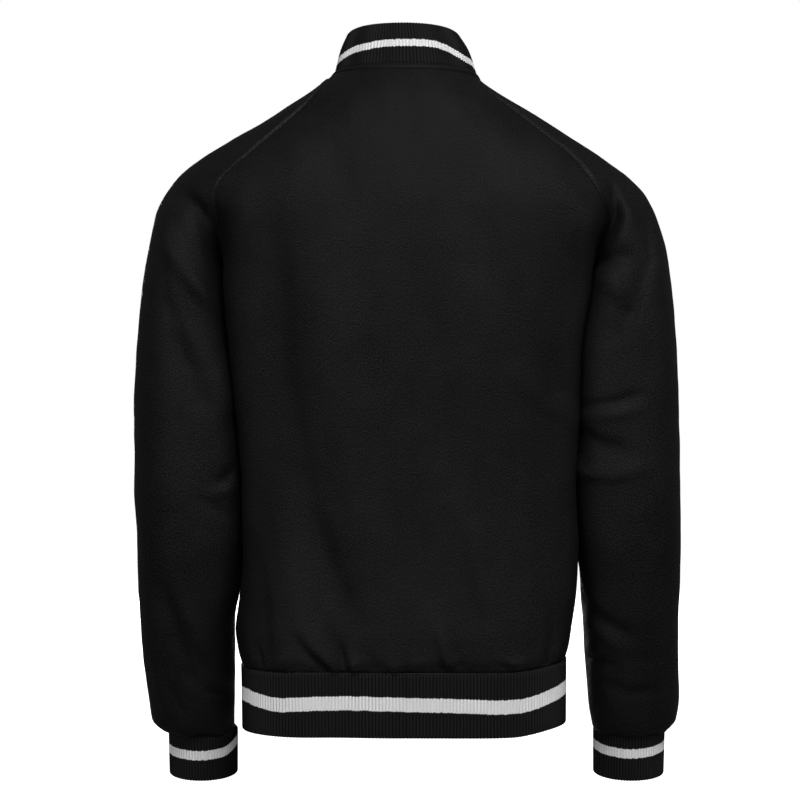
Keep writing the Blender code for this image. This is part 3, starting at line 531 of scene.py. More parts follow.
def hem_wave(points):
    """The back's broad waves and the lift at the right, which grow from the waist to the hem."""
    x, y, z = points[..., 0], points[..., 1], points[..., 2]
    grown = ease((-0.40 - z) / 0.18)
    waves = sum(rise * np.exp(-((x - at) / width) ** 2)
                for at, width, rise in zip(HEM_WAVES["x"], HEM_WAVES["width"], HEM_WAVES["rise"]))
    ride = HEM_RIDE * ease((-x - 0.105) / 0.062) * grown
    return np.stack([x, y + grown * waves * (y > 0), z + ride], axis=-1)


# ---------------------------------------------------------------- folds

STEEP_SIDE = 0.30           # a fold is this much narrower on one side and wider on the other


def fold_heights(x, z, folds, tapered=True):
    """Height of all folds over points of the cloth. A tapered one dies out at both ends."""
    total = np.zeros_like(z)
    for row in zip(*(folds[name] for name in FOLD_COLUMNS.split())):
        x0, z0, x1, z1, x2, z2, width0, width2, rise = (value * MM for value in row)
        best, at, side = np.full_like(z, np.inf), np.zeros_like(z), np.zeros_like(z)
        for (xa, za), (xb, zb), start in (((x0, z0), (x1, z1), 0.0), ((x1, z1), (x2, z2), 0.5)):
            run_x, run_z = xb - xa, zb - za
            along = ((x - xa) * run_x + (z - za) * run_z) / (run_x ** 2 + run_z ** 2)
            along = np.clip(along, 0, 1)
            gap_x, gap_z = x - xa - along * run_x, z - za - along * run_z
            gap = np.hypot(gap_x, gap_z)
            nearer = gap < best
            best = np.where(nearer, gap, best)
            at = np.where(nearer, start + along / 2, at)
            side = np.where(nearer, (gap_x * run_z - gap_z * run_x) / np.hypot(run_x, run_z), side)
        width = mix(width0, width2, at)
        lean = STEEP_SIDE * np.tanh(side / width) * np.sign(rise)
        strength = 1 - 0.45 * (2 * at - 1) ** 4 if tapered else 0.25 + 0.75 * ease(at * 1.5)
        total += rise * strength * np.exp(-(best / (width * (1 + lean))) ** 2)
    return total


def uneven(points, seed, size, depth):
    """Small unevenness of sewn cloth: soft noise of two sizes."""
    shift = Vector((seed * 3.1, seed * 1.7, seed * 2.3))
    height = [noise.noise(Vector(p) / size + shift) + 0.5 * noise.noise(Vector(p) / (size * 0.42) - shift)
              for p in points.reshape(-1, 3)]
    return depth * np.array(height).reshape(points.shape[:-1])


def normals(grid, ring_from=None):
    """Unit vectors out of the cloth at each point of a grid of rows."""
    across = np.gradient(grid, axis=1)
    down = np.gradient(grid, axis=0)
    if ring_from is not None:
        lap = (grid[ring_from:, 1] - grid[ring_from:, -2]) / 2
        across[ring_from:, 0] = lap
        across[ring_from:, -1] = lap
    out = np.cross(across, down)
    out /= np.maximum(np.linalg.norm(out, axis=-1, keepdims=True), 1e-12)
    centre = grid.mean(axis=1, keepdims=True)
    return out if np.sum(out * (grid - centre)) > 0 else -out


def walked(grid, axis):
    """Distance along the grid's lines from the first row or column."""
    steps = np.linalg.norm(np.diff(grid, axis=axis), axis=-1)
    start = np.zeros_like(steps.take([0], axis=axis))
    return np.concatenate([start, np.cumsum(steps, axis=axis)], axis=axis)


def length_of(path):
    return np.linalg.norm(np.diff(path, axis=0), axis=1).sum()


def between(at, gone, values):
    """Points or directions of a path where its distance is at."""
    return np.stack([np.interp(at, gone, values[:, axis]) for axis in range(3)], axis=-1)


def to_edges(grid):
    """Distance along each row to the first column and to the last."""
    gone = walked(grid, 1)
    return gone, gone[:, -1:] - gone


def to_hem(grid):
    gone = walked(grid, 0)
    return gone[-1:] - gone


def rolled(distance, reach, depth):
    """How far an edge turns in towards its seam."""
    return -depth * np.clip(1 - distance / reach, 0, 1) ** 2


def spread_low(height, reach):
    """The lowest value around each point, softened: the inside of a thick cloth has no sharp folds."""
    low = height
    for axis in (0, 1):
        for _ in range(reach):
            shifted = [np.roll(low, step, axis=axis) for step in (-1, 1)]
            for moved, edge in zip(shifted, (-1, 0)):
                index = [slice(None), slice(None)]
                index[axis] = edge
                moved[tuple(index)] = low[tuple(index)]
            low = np.minimum(low, np.minimum(*shifted))
        for _ in range(reach):
            ends = np.concatenate([low.take([0], axis), low, low.take([-1], axis)], axis=axis)
            first, middle, last = (np.moveaxis(ends, axis, 0)[a:b]
                                   for a, b in ((0, -2), (1, -1), (2, None)))
            low = np.moveaxis((first + 2 * middle + last) / 4, 0, axis)
    return low


def swelled(z, name, turn, at, spread):
    """A soft swell down the cloth beside an arm, highest at one turn in degrees of the level section."""
    amount = follow(SWELL["z"], SWELL[name], z) * MM
    return amount * np.exp(-((np.degrees(turn) - at) / spread) ** 2)


# ---------------------------------------------------------------- grids of the panels

def crowded(count, edge=0.012):
    """Shares from 0 to 1, closer together near 1, where a seam rolls in."""
    even = np.linspace(0, 1 - edge * 1.6, count + 1)
    return np.concatenate([even, 1 - edge * np.array([1.1, 0.7, 0.42, 0.2, 0.0])])


def heights(*stops):
    """Row heights through stops, each followed by the step of the stretch below it."""
    rows = []
    for (top, step), (low, _) in zip(stops[:-1], stops[1:]):
        count = max(1, round((top - low) / step))
        rows.extend(np.linspace(top, low, count + 1)[1:])
    return rows


def panel(grid, height, ring_from=None, side=0, slack=3):
    """Outer and inner surface of a panel, its directions, and where its rows become rings."""
    out = normals(grid, ring_from)
    outer = grid + out * height[..., None]
    inner = grid + out * (spread_low(height, slack) - CLOTH)[..., None]
    if ring_from is not None:
        outer[ring_from:] = beside_body(outer[ring_from:], side)
        inward = outer[ring_from:] - out[ring_from:] * CLOTH
        pushed = np.abs(outer[ring_from:, :, 0]) > np.abs((grid + out * height[..., None])[ring_from:, :, 0])
        inner[ring_from:] = np.where(pushed[..., None], inward, inner[ring_from:])
    return {"outer": outer, "inner": inner, "out": normals(outer, ring_from), "ring_from": ring_from}


ARMHOLE_ROWS = np.concatenate([np.linspace(0, 1, 9)[:-1], np.linspace(1, 10, ARMHOLE_STEPS)])
BODY_LEVELS = heights((UNDERARM, WIDE_STEP), (-0.555, FINE_STEP), (HEM_SEAM + 0.006, 0.0009), (HEM_SEAM, 0))
SLEEVE_LEVELS = heights((UNDERARM, SLEEVE_STEP), (-0.662, 0.0022), (SLEEVE["z"][-1], 0))


def row_points(row, turn_foot, z_foot, below, row_one):
    """Above the first table row the points slide over the shoulders from the neckline."""
    if row >= 1:
        return below(row)
    turn_one, z_one = row_one
    return oval(YOKE, mix(turn_foot, turn_one, row), mix(z_foot, z_one, row))


def make_back_grid():
    half = crowded(BACK_HALF_COLUMNS, 0.010)
    share = np.concatenate([-half[:0:-1], half])
    foot = neckline(share * np.where(share >= 0, NECK_BACK_TURN[1], NECK_BACK_TURN[-1]))

    def turns(row):
        z = seam_value("z_back", row)
        left = oval_turn(YOKE, seam_value("left", row), z, 1, False)
        right = oval_turn(YOKE, -seam_value("right", row), z, -1, False)
        return np.where(share >= 0, share * left, -share * right), np.full_like(share, z)

    def below(row):
        turn, z = turns(row)
        return torso(turn, share * math.pi / 2, z)

    foot_turn = yoke_turn(foot)
    rows = [row_points(row, foot_turn, foot[:, 2], below, turns(1.0)) for row in ARMHOLE_ROWS]
    rows += [oval(BODY, share * math.pi / 2, z) for z in BODY_LEVELS]
    grid = hem_wave(np.array(rows))
    x, z = grid[..., 0], grid[..., 2]
    edge, hem = np.minimum(*to_edges(grid)), to_hem(grid)
    height = fold_heights(x, z, BACK_FOLDS) * ease(edge / 0.016)
    height += fold_heights(x, z, BACK_GATHERS, False) * ease(hem / 0.004 + 0.25) * ease(edge / 0.010)
    height += uneven(grid, 1, 0.055, 0.0008) * ease(edge / 0.02)
    for name, towards in (("body_left", 1), ("body_right", -1)):
        height += swelled(z, name, towards * share * math.pi / 2, 66, 13) * ease(edge / 0.014)
    height += rolled(edge, SEAM_ROLL_RUN, SEAM_ROLL) + rolled(hem, 0.0050, 0.0016)
    return panel(grid, height)


PLACKET_COLUMNS = np.linspace(-PLACKET, PLACKET + FACING, 18)


def make_front_grid(side):
    """Columns run from the placket edge to the raglan seam and the side seam."""
    share = crowded(FRONT_COLUMNS)[1:]
    climb = np.concatenate([np.zeros(len(PLACKET_COLUMNS)), share ** 1.4])

    def turns(sections, z, seam, crowd=1.0):
        edge = oval_turn(sections, side * PLACKET_COLUMNS, z, side, True)
        return np.concatenate([edge, edge[-1] + (seam - edge[-1]) * share ** crowd])

    name = "left" if side > 0 else "right"
    neck_edge = side * (math.pi - np.arcsin(PLACKET_COLUMNS / NECK_HALF))
    foot = neckline(np.concatenate([neck_edge, mix(neck_edge[-1], side * NECK_FRONT_TURN, share)]))
    foot_turn = yoke_turn(foot)
    foot_turn = np.where(foot_turn * side < 0, foot_turn + side * 2 * math.pi, foot_turn)

    def spread(row):
        z_seam, z_middle = seam_value("z_front", row), seam_value("z_middle", row)
        crowd = 1.6 - 0.6 * (row - 1) / 9
        seam = oval_turn(YOKE, side * seam_value(name + "_front", row), z_seam, side, True)
        z = z_middle + (z_seam - z_middle) * climb
        return turns(YOKE, z_middle, seam, crowd), turns(BODY, z_middle, side * math.pi / 2, crowd), z

    def below(row):
        return torso(*spread(row))

    yoke_one, _, z_one = spread(1.0)
    rows = [row_points(row, foot_turn, foot[:, 2], below, (yoke_one, z_one)) for row in ARMHOLE_ROWS]
    rows += [oval(BODY, turns(BODY, z, side * math.pi / 2), z) for z in BODY_LEVELS]
    grid = hem_wave(np.array(rows))
    x, z = grid[..., 0], grid[..., 2]
    from_placket, edge = to_edges(grid)
    hem = to_hem(grid)
    calm = ease((from_placket - 0.022) / 0.020)
    height = fold_heights(x, z, FRONT_FOLDS) * ease(edge / 0.016)
    height += fold_heights(x, z, FRONT_GATHERS, False) * ease(hem / 0.004 + 0.25) * ease(edge / 0.010)
    height += uneven(grid, 2 + side, 0.055, 0.0008) * ease(edge / 0.02)
    height += rolled(hem, 0.0050, 0.0016)
    height = height * calm + rolled(edge, SEAM_ROLL_RUN, SEAM_ROLL)
    if side < 0:
        lap = np.concatenate([PLACKET_COLUMNS, np.full(len(share), 1.0)])
        height -= UNDERLAP * ease((PLACKET + FACING - lap) / 0.0048)[None, :]
    return panel(grid, height)


def cuff_gathers(turn, cuff, gathers):
    """Short folds where the sleeve is gathered into its cuff, placed round the arm in degrees."""
    total = np.zeros_like(cuff)
    units = (("turn", 1), ("length", MM), ("width", MM), ("rise", MM))
    rows = zip(*(gathers[name] * unit for name, unit in units))
    for at, length, width, rise in rows:
        gap = (np.degrees(turn) - at + 180) % 360 - 180
        gap = gap / 360 * CUFF_ROUND
        total += rise * np.exp(-(gap / width) ** 2) * ease(1.1 - cuff / length) * ease(cuff / 0.003 + 0.3)
    return total


def make_sleeve_grid(side):
    """Columns run from the front seam over the arm to the back seam, and under it to the armpit."""
    half = crowded(SLEEVE_HALF_COLUMNS)
    share_signed = np.concatenate([-half[:0:-1], half])
    turn = share_signed * math.pi
    share, behind = np.abs(share_signed), share_signed >= 0
    name = "left" if side > 0 else "right"
    neck_ridge = (NECK_BACK_TURN[side] + NECK_FRONT_TURN) / 2
    foot = neckline(side * (neck_ridge - share_signed * (NECK_FRONT_TURN - NECK_BACK_TURN[side]) / 2))

    def spread(row):
        z_back, z_front = seam_value("z_back", row), seam_value("z_front", row)
        back = oval_turn(YOKE, side * seam_value(name, row), z_back, side, False)
        front = oval_turn(YOKE, side * seam_value(name + "_front", row), z_front, side, True)
        z = np.where(behind, z_back, z_back + (z_front - z_back) * ease(share))
        seam = np.where(behind, side * back, side * front)
        return side * (math.pi / 2 + (seam - math.pi / 2) * share), z

    def below(row):
        turn_on_yoke, z = spread(row)
        parts = parted(z)[:, None]
        return (1 - parts) * oval(YOKE, turn_on_yoke, z) + parts * sleeve_ring(side, turn, z)

    foot_turn = yoke_turn(foot)
    rows = [row_points(row, foot_turn, foot[:, 2], below, spread(1.0)) for row in ARMHOLE_ROWS]
    ring_from = len(rows) - 1
    rows += [sleeve_ring(side, turn, np.full_like(turn, z)) for z in SLEEVE_LEVELS]
    grid = np.array(rows)
    x, z = grid[..., 0], grid[..., 2]
    behind_folds, before_folds, gathers = SLEEVE_FOLDS[side]
    seam = np.minimum(*to_edges(grid))
    below_arm = ease((np.arange(len(grid)) - ring_from) / 14)[:, None]
    edge = mix(seam, 1.0, below_arm)
    cuff = to_hem(grid)
    facing = np.sin(turn)
    height = fold_heights(x, z, behind_folds) * ease(facing / 0.35 + 0.1)
    height += fold_heights(x, z, before_folds) * ease(-facing / 0.35 + 0.1)
    height += swelled(z, "arm_" + name, turn, 132, 21)
    height *= ease(edge / 0.012)
    height += cuff_gathers(turn, cuff, gathers)
    height += uneven(grid, 5 + side, 0.045, 0.0009) * ease(edge / 0.02)
    height += rolled(edge, SEAM_ROLL_RUN, SEAM_ROLL) + rolled(cuff, 0.0045, 0.0016)
    height += rolled(seam, 0.0022, 0.0006) * below_arm
    return panel(grid, height, ring_from, side)


# ---------------------------------------------------------------- meshes

def flat_places(grid):
    """Flat places of the cloth in metres: across from the middle column, and down from the first row."""
    across = walked(grid, 1)
    across -= across[:, grid.shape[1] // 2][:, None]
    down = walked(grid, 0).mean(axis=1)[:, None] * np.ones_like(across)
    return np.stack([across, down], axis=-1)


def quads(a, b, c, d):
    return np.stack([a, b, c, d], axis=-1).reshape(-1, 4)


def corner_numbers(faces):
    return np.concatenate([np.array(face) for face in faces])


def make_mesh(name, points, faces, corner_places, materials, kinds=None, turn_out=False):
    """A smooth mesh. faces are lists of point numbers, corner_places one flat place for each corner."""
    mesh = bpy.data.meshes.new(name)
    mesh.from_pydata(points.tolist(), [], faces)
    layer = mesh.uv_layers.new(name="cut")
    layer.data.foreach_set("uv", corner_places.astype(np.float32).ravel())
    for material in materials:
        mesh.materials.append(material)
    if kinds is not None:
        mesh.polygons.foreach_set("material_index", kinds.astype(np.int32))
    if turn_out:
        work = bmesh.new()
        work.from_mesh(mesh)
        bmesh.ops.recalc_face_normals(work, faces=work.faces)
        work.to_mesh(mesh)
        work.free()
    mesh.shade_smooth()
    obj = bpy.data.objects.new(name, mesh)
    bpy.context.scene.collection.objects.link(obj)
    return obj


def wall_faces(number, low, cut):
    """Outside, inside and rims of a wall. number and low are the point numbers of its two grids."""
    outside = quads(number[:-1, :-1], number[:-1, 1:], number[1:, 1:], number[1:, :-1])
    inside = quads(low[:-1, :-1], low[1:, :-1], low[1:, 1:], low[:-1, 1:])
    rims = [quads(number[0, 1:], number[0, :-1], low[0, :-1], low[0, 1:]),
            quads(number[-1, :-1], number[-1, 1:], low[-1, 1:], low[-1, :-1]),
            quads(number[:cut, 0], number[1:cut + 1, 0], low[1:cut + 1, 0], low[:cut, 0]),
            quads(number[1:cut + 1, -1], number[:cut, -1], low[:cut, -1], low[1:cut + 1, -1])]
    return outside, inside, np.concatenate(rims)


def make_wall(name, part, materials):
    """A closed wall. From row ring_from down, the first and last columns are one."""
    outer, inner, ring_from = part["outer"], part["inner"], part["ring_from"]
    rows, columns = outer.shape[:2]
    ring_from = rows if ring_from is None else ring_from
    kept = np.ones((rows, columns), dtype=bool)
    kept[ring_from:, -1] = False
    number = np.cumsum(kept.ravel()).reshape(rows, columns) - 1
    number[ring_from:, -1] = number[ring_from:, 0]
    place = np.arange(rows * columns).reshape(rows, columns)
    cut = min(ring_from, rows - 1)
    parts = wall_faces(number, number + int(kept.sum()), cut)
    corners = np.concatenate(wall_faces(place, place, cut))
    faces = np.concatenate(parts)
    middle = columns // 2
    across, down = outer[1, middle + 1] - outer[1, middle], outer[2, middle] - outer[1, middle]
    if np.dot(np.cross(across, down), outer[1, middle] - inner[1, middle]) < 0:
        faces, corners = faces[:, ::-1], corners[:, ::-1]
    kinds = np.zeros(len(faces))
    kinds[len(parts[0]):len(parts[0]) + len(parts[1])] = len(materials) - 1
    points = np.concatenate([outer[kept], inner[kept]])
    places = flat_places(outer).reshape(-1, 2)[corners.ravel()]
    return make_mesh(name, points, faces.tolist(), places, materials, kinds)


def make_loop(name, rows, places, materials, around=False, kinds=None):
    """A body whose cross-sections are the columns of rows, closed from the last row to the first."""
    count, columns = rows.shape[:2]
    number = np.arange(count * columns).reshape(count, columns)
    right = np.roll(number, -1, axis=1) if around else number[:, 1:]
    left = number if around else number[:, :-1]
    faces = quads(left, right, np.roll(right, -1, axis=0), np.roll(left, -1, axis=0))
    places = places.reshape(-1, 2)
    lists = faces.tolist()
    if not around:
        lists += [number[:, 0].tolist(), number[::-1, -1].tolist()]
    corners = corner_numbers(lists)
    return make_mesh(name, rows.reshape(-1, 3), lists, places[corners], materials, kinds, turn_out=True)


def on_jacket(piece, slot, *nodes):
    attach(piece, "root")
    if nodes:
        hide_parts(*nodes)
    return piece


# ---------------------------------------------------------------- sewing along the seams

def near_edge(part, column, distances, along_rows=slice(None)):
    """Points and directions of a panel at distances from its first or last column, row by row."""
    order = slice(None, NEAR_COLUMNS) if column == 0 else slice(None, -NEAR_COLUMNS - 1, -1)
    grid, out = part["outer"][along_rows, order], part["out"][along_rows, order]
    gone = walked(grid, 1)
    points = np.empty((len(grid), len(distances), 3))
    facing = np.empty_like(points)
    for i in range(len(grid)):
        points[i] = between(distances, gone[i], grid[i])
        facing[i] = between(distances, gone[i], out[i])
    return points, facing


def even_path(path, step, *others):
    """A path and what goes with it, resampled at even steps."""
    gone = walked(path, 0)
    at = np.linspace(0, gone[-1], max(2, round(gone[-1] / step)) + 1)
    return [between(at, gone, values) for values in (path, *others)]


# Rings of a stitch: how far along it, their size, and how far they lie off the cloth.
STITCH_RINGS = ((0.08, 0.45, -0.6), (0.26, 1.0, 0.45), (0.60, 1.0, 0.45), (0.80, 0.45, -0.6))


def thread_points(path, out):
    """One small body for each stitch of a row: rings of points at four places along it."""
    spots, facing = even_path(path, STITCH, out)
    bodies = []
    for a, b, up in zip(spots[:-1], spots[1:], facing[:-1]):
        run = (b - a) / max(np.linalg.norm(b - a), 1e-9)
        across = np.cross(run, up)
        across /= max(np.linalg.norm(across), 1e-9)
        upward = np.cross(across, run)
        angle = np.arange(THREAD_SIDES) * math.pi / 3
        for share, radius, lift in STITCH_RINGS:
            middle = a + (b - a) * share + upward * lift * THREAD
            ring = np.cos(angle)[:, None] * across + np.sin(angle)[:, None] * upward
            bodies.append(middle + ring * radius * THREAD)
    return np.array(bodies)


def make_stitches(name, rows, material):
    """All stitches of some rows as one mesh."""
    rings = np.concatenate([thread_points(path, out) for path, out in rows])
    number = np.arange(rings.shape[0] * THREAD_SIDES).reshape(-1, 4, THREAD_SIDES)
    faces = [quads(number[:, k], np.roll(number[:, k], -1, axis=1),
                   np.roll(number[:, k + 1], -1, axis=1), number[:, k + 1]) for k in range(3)]
    lists = np.concatenate(faces).tolist()
    lists += number[:, 0, ::-1].tolist() + number[:, 3].tolist()
    corners = corner_numbers(lists)
    along = np.arange(len(number))[:, None, None] * STITCH + np.linspace(0, STITCH, 4)[None, :, None]
    round_it = np.arange(THREAD_SIDES)[None, None, :] * THREAD
    places = np.stack(np.broadcast_arrays(along, round_it), axis=-1).reshape(-1, 2)
    return make_mesh(name, rings.reshape(-1, 3), lists, places[corners], [material], turn_out=True)


BAND_PLACES = BAND_HALF * np.array([0, 0.22, 0.42, 0.60, 0.74, 0.86, 0.95, 1.0])


def band_height(side, off):
    """The seam band is rounded on the left and flat with raised stitched edges on the right."""
    share = np.abs(off) / BAND_HALF
    if side > 0:
        shape = 0.0027 * np.sqrt(np.maximum(1 - share ** 4, 0))
    else:
        shape = 0.0007 * (1 - share ** 6) + 0.0011 * np.exp(-((share - 0.86) / 0.11) ** 2)
    return shape - rolled(np.abs(off), SEAM_ROLL_RUN, SEAM_ROLL)


def seam_band(first, first_column, second, second_column, side, rows):
    """Top surface of the stitched-down band over a seam, from one panel across to the other."""
    near, near_out = near_edge(first, first_column, BAND_PLACES, rows)
    far, far_out = near_edge(second, second_column, BAND_PLACES, rows)
    middle = (near[:, :1] + far[:, :1]) / 2
    middle_out = near_out[:, :1] + far_out[:, :1]
    surface = np.concatenate([near[:, :0:-1], middle, far[:, 1:]], axis=1)
    out = np.concatenate([near_out[:, :0:-1], middle_out, far_out[:, 1:]], axis=1)
    out /= np.linalg.norm(out, axis=-1, keepdims=True)
    off = np.concatenate([-BAND_PLACES[:0:-1], BAND_PLACES])
    grown = 0.35 + 0.65 * ease(np.arange(len(surface)) / 9)
    return surface, out, off, surface + out * (grown[:, None] * band_height(side, off))[..., None]


def make_seam_band(name, side, first, first_column, second, second_column, material, thread):
    start = int(np.searchsorted(ARMHOLE_ROWS, 0.32))
    rows = slice(start, len(ARMHOLE_ROWS))
    surface, out, off, top = seam_band(first, first_column, second, second_column, side, rows)
    under = surface - out * BAND_UNDER
    loop = np.concatenate([top, under[:, ::-1]], axis=1).transpose(1, 0, 2)
    down = walked(surface[:, len(off) // 2], 0)
    across = np.concatenate([off, off[::-1]])
    places = np.stack(np.broadcast_arrays(across[:, None], down[None, :]), axis=-1)
    band = make_loop(name, loop, places, [material])
    stitch_at = (0, 14) if side > 0 else (3, 11)
    lift = 0.0003 if side > 0 else 0.0001
    lines = [(top[:, k] + out[:, k] * lift, out[:, k]) for k in stitch_at]
    sewing = make_stitches(name + "_stitches", lines, thread)
    return band, sewing


# ---------------------------------------------------------------- neck tape and knit

def neckline_loop(panels):
    """Panel strips below the neckline, from the right front round the back to the left front."""
    points, outs = [], []
    for name, order, first in (("front_right", 1, 17), ("sleeve_right", 1, 1), ("back", 1, 1),
                               ("sleeve_left", -1, 1), ("front_left", -1, 1)):
        part = panels[name]
        points.append(part["outer"][:9, ::order][:, first:])
        outs.append(part["out"][:9, ::order][:, first:])
    return np.concatenate(points, axis=1), np.concatenate(outs, axis=1)


def smoothed(values, times):
    for _ in range(times):
        padded = np.concatenate([values[:1], values, values[-1:]])
        values = (padded[:-2] + 2 * padded[1:-1] + padded[2:]) / 4
    return values


def make_neck_tape(panels, material):
    grid, out = neckline_loop(panels)
    gone = walked(grid, 0)
    width = TAPE_END - TAPE_START
    share = np.array([0, 0.04, 0.14, 0.3, 0.5, 0.7, 0.86, 0.96, 1.0])
    strip, facing = [], []
    for s in share:
        at = TAPE_START + s * width
        line, turned = (np.array([between(at, gone[:, j], values[:, j]) for j in range(grid.shape[1])])
                        for values in (grid, out))
        line[:, 2] += max(-at, 0)
        line, turned = even_path(line, TAPE_STEP, turned)
        strip.append(line)
        facing.append(turned)
    count = min(len(line) for line in strip)
    strip, facing = (np.array([between(np.linspace(0, len(line) - 1, count), np.arange(len(line)), line)
                               for line in lines]) for lines in (strip, facing))
    strip = smoothed(strip.transpose(1, 0, 2), 14).transpose(1, 0, 2)
    facing /= np.linalg.norm(facing, axis=-1, keepdims=True)
    rise = TAPE_FOOT + TAPE_CROWN * np.sqrt(np.maximum(1 - (2 * share - 1) ** 2, 0))
    top = strip + facing * rise[:, None, None]
    under = strip - facing * TAPE_FOOT
    loop = np.concatenate([top, under[::-1]])
    run = np.linspace(0, length_of(strip[4]), count)
    drop = np.concatenate([share, share[::-1]]) * width
    places = np.stack(np.broadcast_arrays(run[None, :], drop[:, None]), axis=-1)
    return make_loop("neck_tape", loop, places, [material])


def rib_shape(columns, samples=RIB_SAMPLES):
    """Height of the ribs over the valleys between them, from 0 to 1, column by column."""
    share = (np.arange(columns) % samples) / samples
    return 1 - np.abs(np.cos(math.pi * share)) ** 2.6


def even_turns(curve, first, last, count):
    """Turns at which points of a curve are evenly spaced along it."""
    fine = np.linspace(first, last, 6001)
    length = walked(curve(fine), 0)
    return np.interp(np.linspace(0, length[-1], count + 1), length, fine)


def make_rib_knit(name, base, out, materials, pitch, farther, around=False):
    """Knit with every rib on both faces, folded to a round edge at the last row of base."""
    columns = base.shape[1]
    rib = rib_shape(columns)[None, :, None]
    outer_height = RIB_RISE * rib
    inner_height = -RIB_WALL + 0.45 * RIB_RISE * rib
    edge = base[-1] - base[-2]
    edge /= np.linalg.norm(edge, axis=-1, keepdims=True)
    thick = (outer_height - inner_height)[0]
    middle = (outer_height + inner_height)[0] / 2
    bends = []
    for angle in np.linspace(0, math.pi, 8)[1:-1]:
        bends.append(base[-1] + out[-1] * (middle + thick / 2 * math.cos(angle))
                     + edge * (thick * 0.5 * math.sin(angle) - RIB_WALL * 0.5))
    rows = np.concatenate([base + out * outer_height, np.array(bends), (base + out * inner_height)[::-1]])
    rows[len(base) - 1] -= edge * RIB_WALL * 0.5
    rows[len(base) + len(bends)] -= edge * RIB_WALL * 0.5
    from_edge = to_hem(base) - farther
    at_edge = np.broadcast_to(-farther, (len(bends), columns))
    down = np.concatenate([from_edge, at_edge, from_edge[::-1]])
    run = np.arange(columns) * pitch / RIB_SAMPLES
    places = np.stack(np.broadcast_arrays(run[None, :], down), axis=-1)
    return make_loop(name, rows, places, materials, around)


def flat_rim(out, plane_normal):
    """Turns directions into a plane, so that the rim at a seam lies in it."""
    flat = out - plane_normal * np.sum(out * plane_normal, axis=-1, keepdims=True)
    return flat / np.linalg.norm(flat, axis=-1, keepdims=True)


UP = np.array([0.0, 0.0, 1.0])
CUFF_TILT = math.radians(SLEEVE["tilt"][-1])
CUFF_AXIS = np.array([0.0, math.sin(CUFF_TILT), math.cos(CUFF_TILT)])
STAND = table(
    "share half   deep   mid     lean",
    (0.00, NECK_HALF, NECK_DEEP, NECK_MID, 0.0),
    (0.62, 0.0672, 0.0662, -0.0095, 0.0010),
    (1.00, 0.0590, 0.0590, -0.0110, 0.0025))


def make_collar(material):
    half_turn = math.pi - COLLAR_OPEN
    turn = even_turns(neckline, -half_turn, half_turn, RIB_SAMPLES * COLLAR_RIBS)
    foot = neckline(turn)
    foot[:, 2] += NECK_GAP
    backward = (1 + np.cos(turn)) / 2
    height = COLLAR_FRONT + (COLLAR_BACK - COLLAR_FRONT) * backward
    rows = []
    for share in np.linspace(0, 1, 16):
        half, deep, mid, lean = (follow(STAND["share"], STAND[name], share)
                                 for name in ("half", "deep", "mid", "lean"))
        x = lean + half * np.sin(turn)
        y = mid + deep * np.cos(turn)
        rows.append(np.stack([x, y, foot[:, 2] + height * share], axis=-1))
    base = np.array(rows)
    pitch = length_of(base[0]) / COLLAR_RIBS
    farther = follow(COLLAR_STRIPE["turn"], COLLAR_STRIPE["farther"], np.degrees(turn)) * MM
    return make_rib_knit("collar_rib", base, flat_rim(normals(base), UP), [material], pitch, farther)


def make_hem_rib(material):
    """The band's right end lies under its left end at the centre front."""
    def level(z):
        return lambda turn: hem_wave(oval(BODY, turn, z))

    lap = math.pi + math.asin((PLACKET / BODY["right"][-1]) ** (BODY["square"][-1] / 2))
    turn = even_turns(level(HEM_SEAM), -lap, lap, RIB_SAMPLES * HEM_RIBS)
    rows = np.array([level(z)(turn) for z in np.linspace(HEM_SEAM - SEAM_GAP, HEM_END, 14)])
    out = flat_rim(normals(rows), UP)
    depth = RIB_WALL + RIB_RISE + SEAM_GAP
    start = PLACKET + 0.0015
    under = np.where(turn < 0, ease((rows[0, :, 0] + start + UNDERLAP_RUN) / UNDERLAP_RUN), 0)
    under = np.where(rows[0, :, 1] < 0, under, 0)
    rows = rows - out * (under * depth)[None, :, None]
    pitch = length_of(rows[0]) / HEM_RIBS
    farther = follow(HEM_STRIPE["x"], HEM_STRIPE["farther"], rows[0, :, 0]) * MM * ease(rows[0, :, 1] / 0.03)
    return make_rib_knit("hem_band_rib", rows, out, [material], pitch, farther)


def make_cuff(name, side, material):
    side_name = "left" if side > 0 else "right"
    inner, outer = SLEEVE["in_" + side_name][-1], SLEEVE["out_" + side_name][-1]
    centre = np.array([side * (inner + outer) / 2, SLEEVE["mid"][-1], SLEEVE["z"][-1]])
    half, deep = (outer - inner) / 2, SLEEVE["deep"][-1]
    behind = np.array([0.0, math.cos(CUFF_TILT), -math.sin(CUFF_TILT)]) / math.cos(CUFF_TILT)

    def ring(turn):
        return centre + half * np.cos(turn)[:, None] * UP[[2, 0, 0]] + deep * np.sin(turn)[:, None] * behind

    turn = even_turns(ring, 0, 2 * math.pi, RIB_SAMPLES * CUFF_RIBS)[:-1]
    top = ring(turn) - CUFF_AXIS * SEAM_GAP
    middle = top.mean(axis=0)
    low = middle + (top - middle) * 0.985 - CUFF_AXIS * CUFF_HEIGHT
    tuck = (mix(top, low, 0.5) - low).mean(axis=0)
    tuck *= CUFF_TUCK / np.linalg.norm(tuck)
    tucked = mix(middle, top, 0.92) + tuck
    rows = np.array([tucked] + [mix(top, low, share) for share in np.linspace(0, 1, 13)])
    ends = np.concatenate([rows[:, -1:], rows, rows[:, :1]], axis=1)
    out = flat_rim(normals(ends)[:, 1:-1], CUFF_AXIS)
    pitch = length_of(top) / CUFF_RIBS
    farther = follow(CUFF_STRIPE["across"], CUFF_STRIPE[side_name], np.cos(turn)) * MM
    return make_rib_knit(name, rows, out, [material], pitch, farther, around=True)


# ---------------------------------------------------------------- snaps

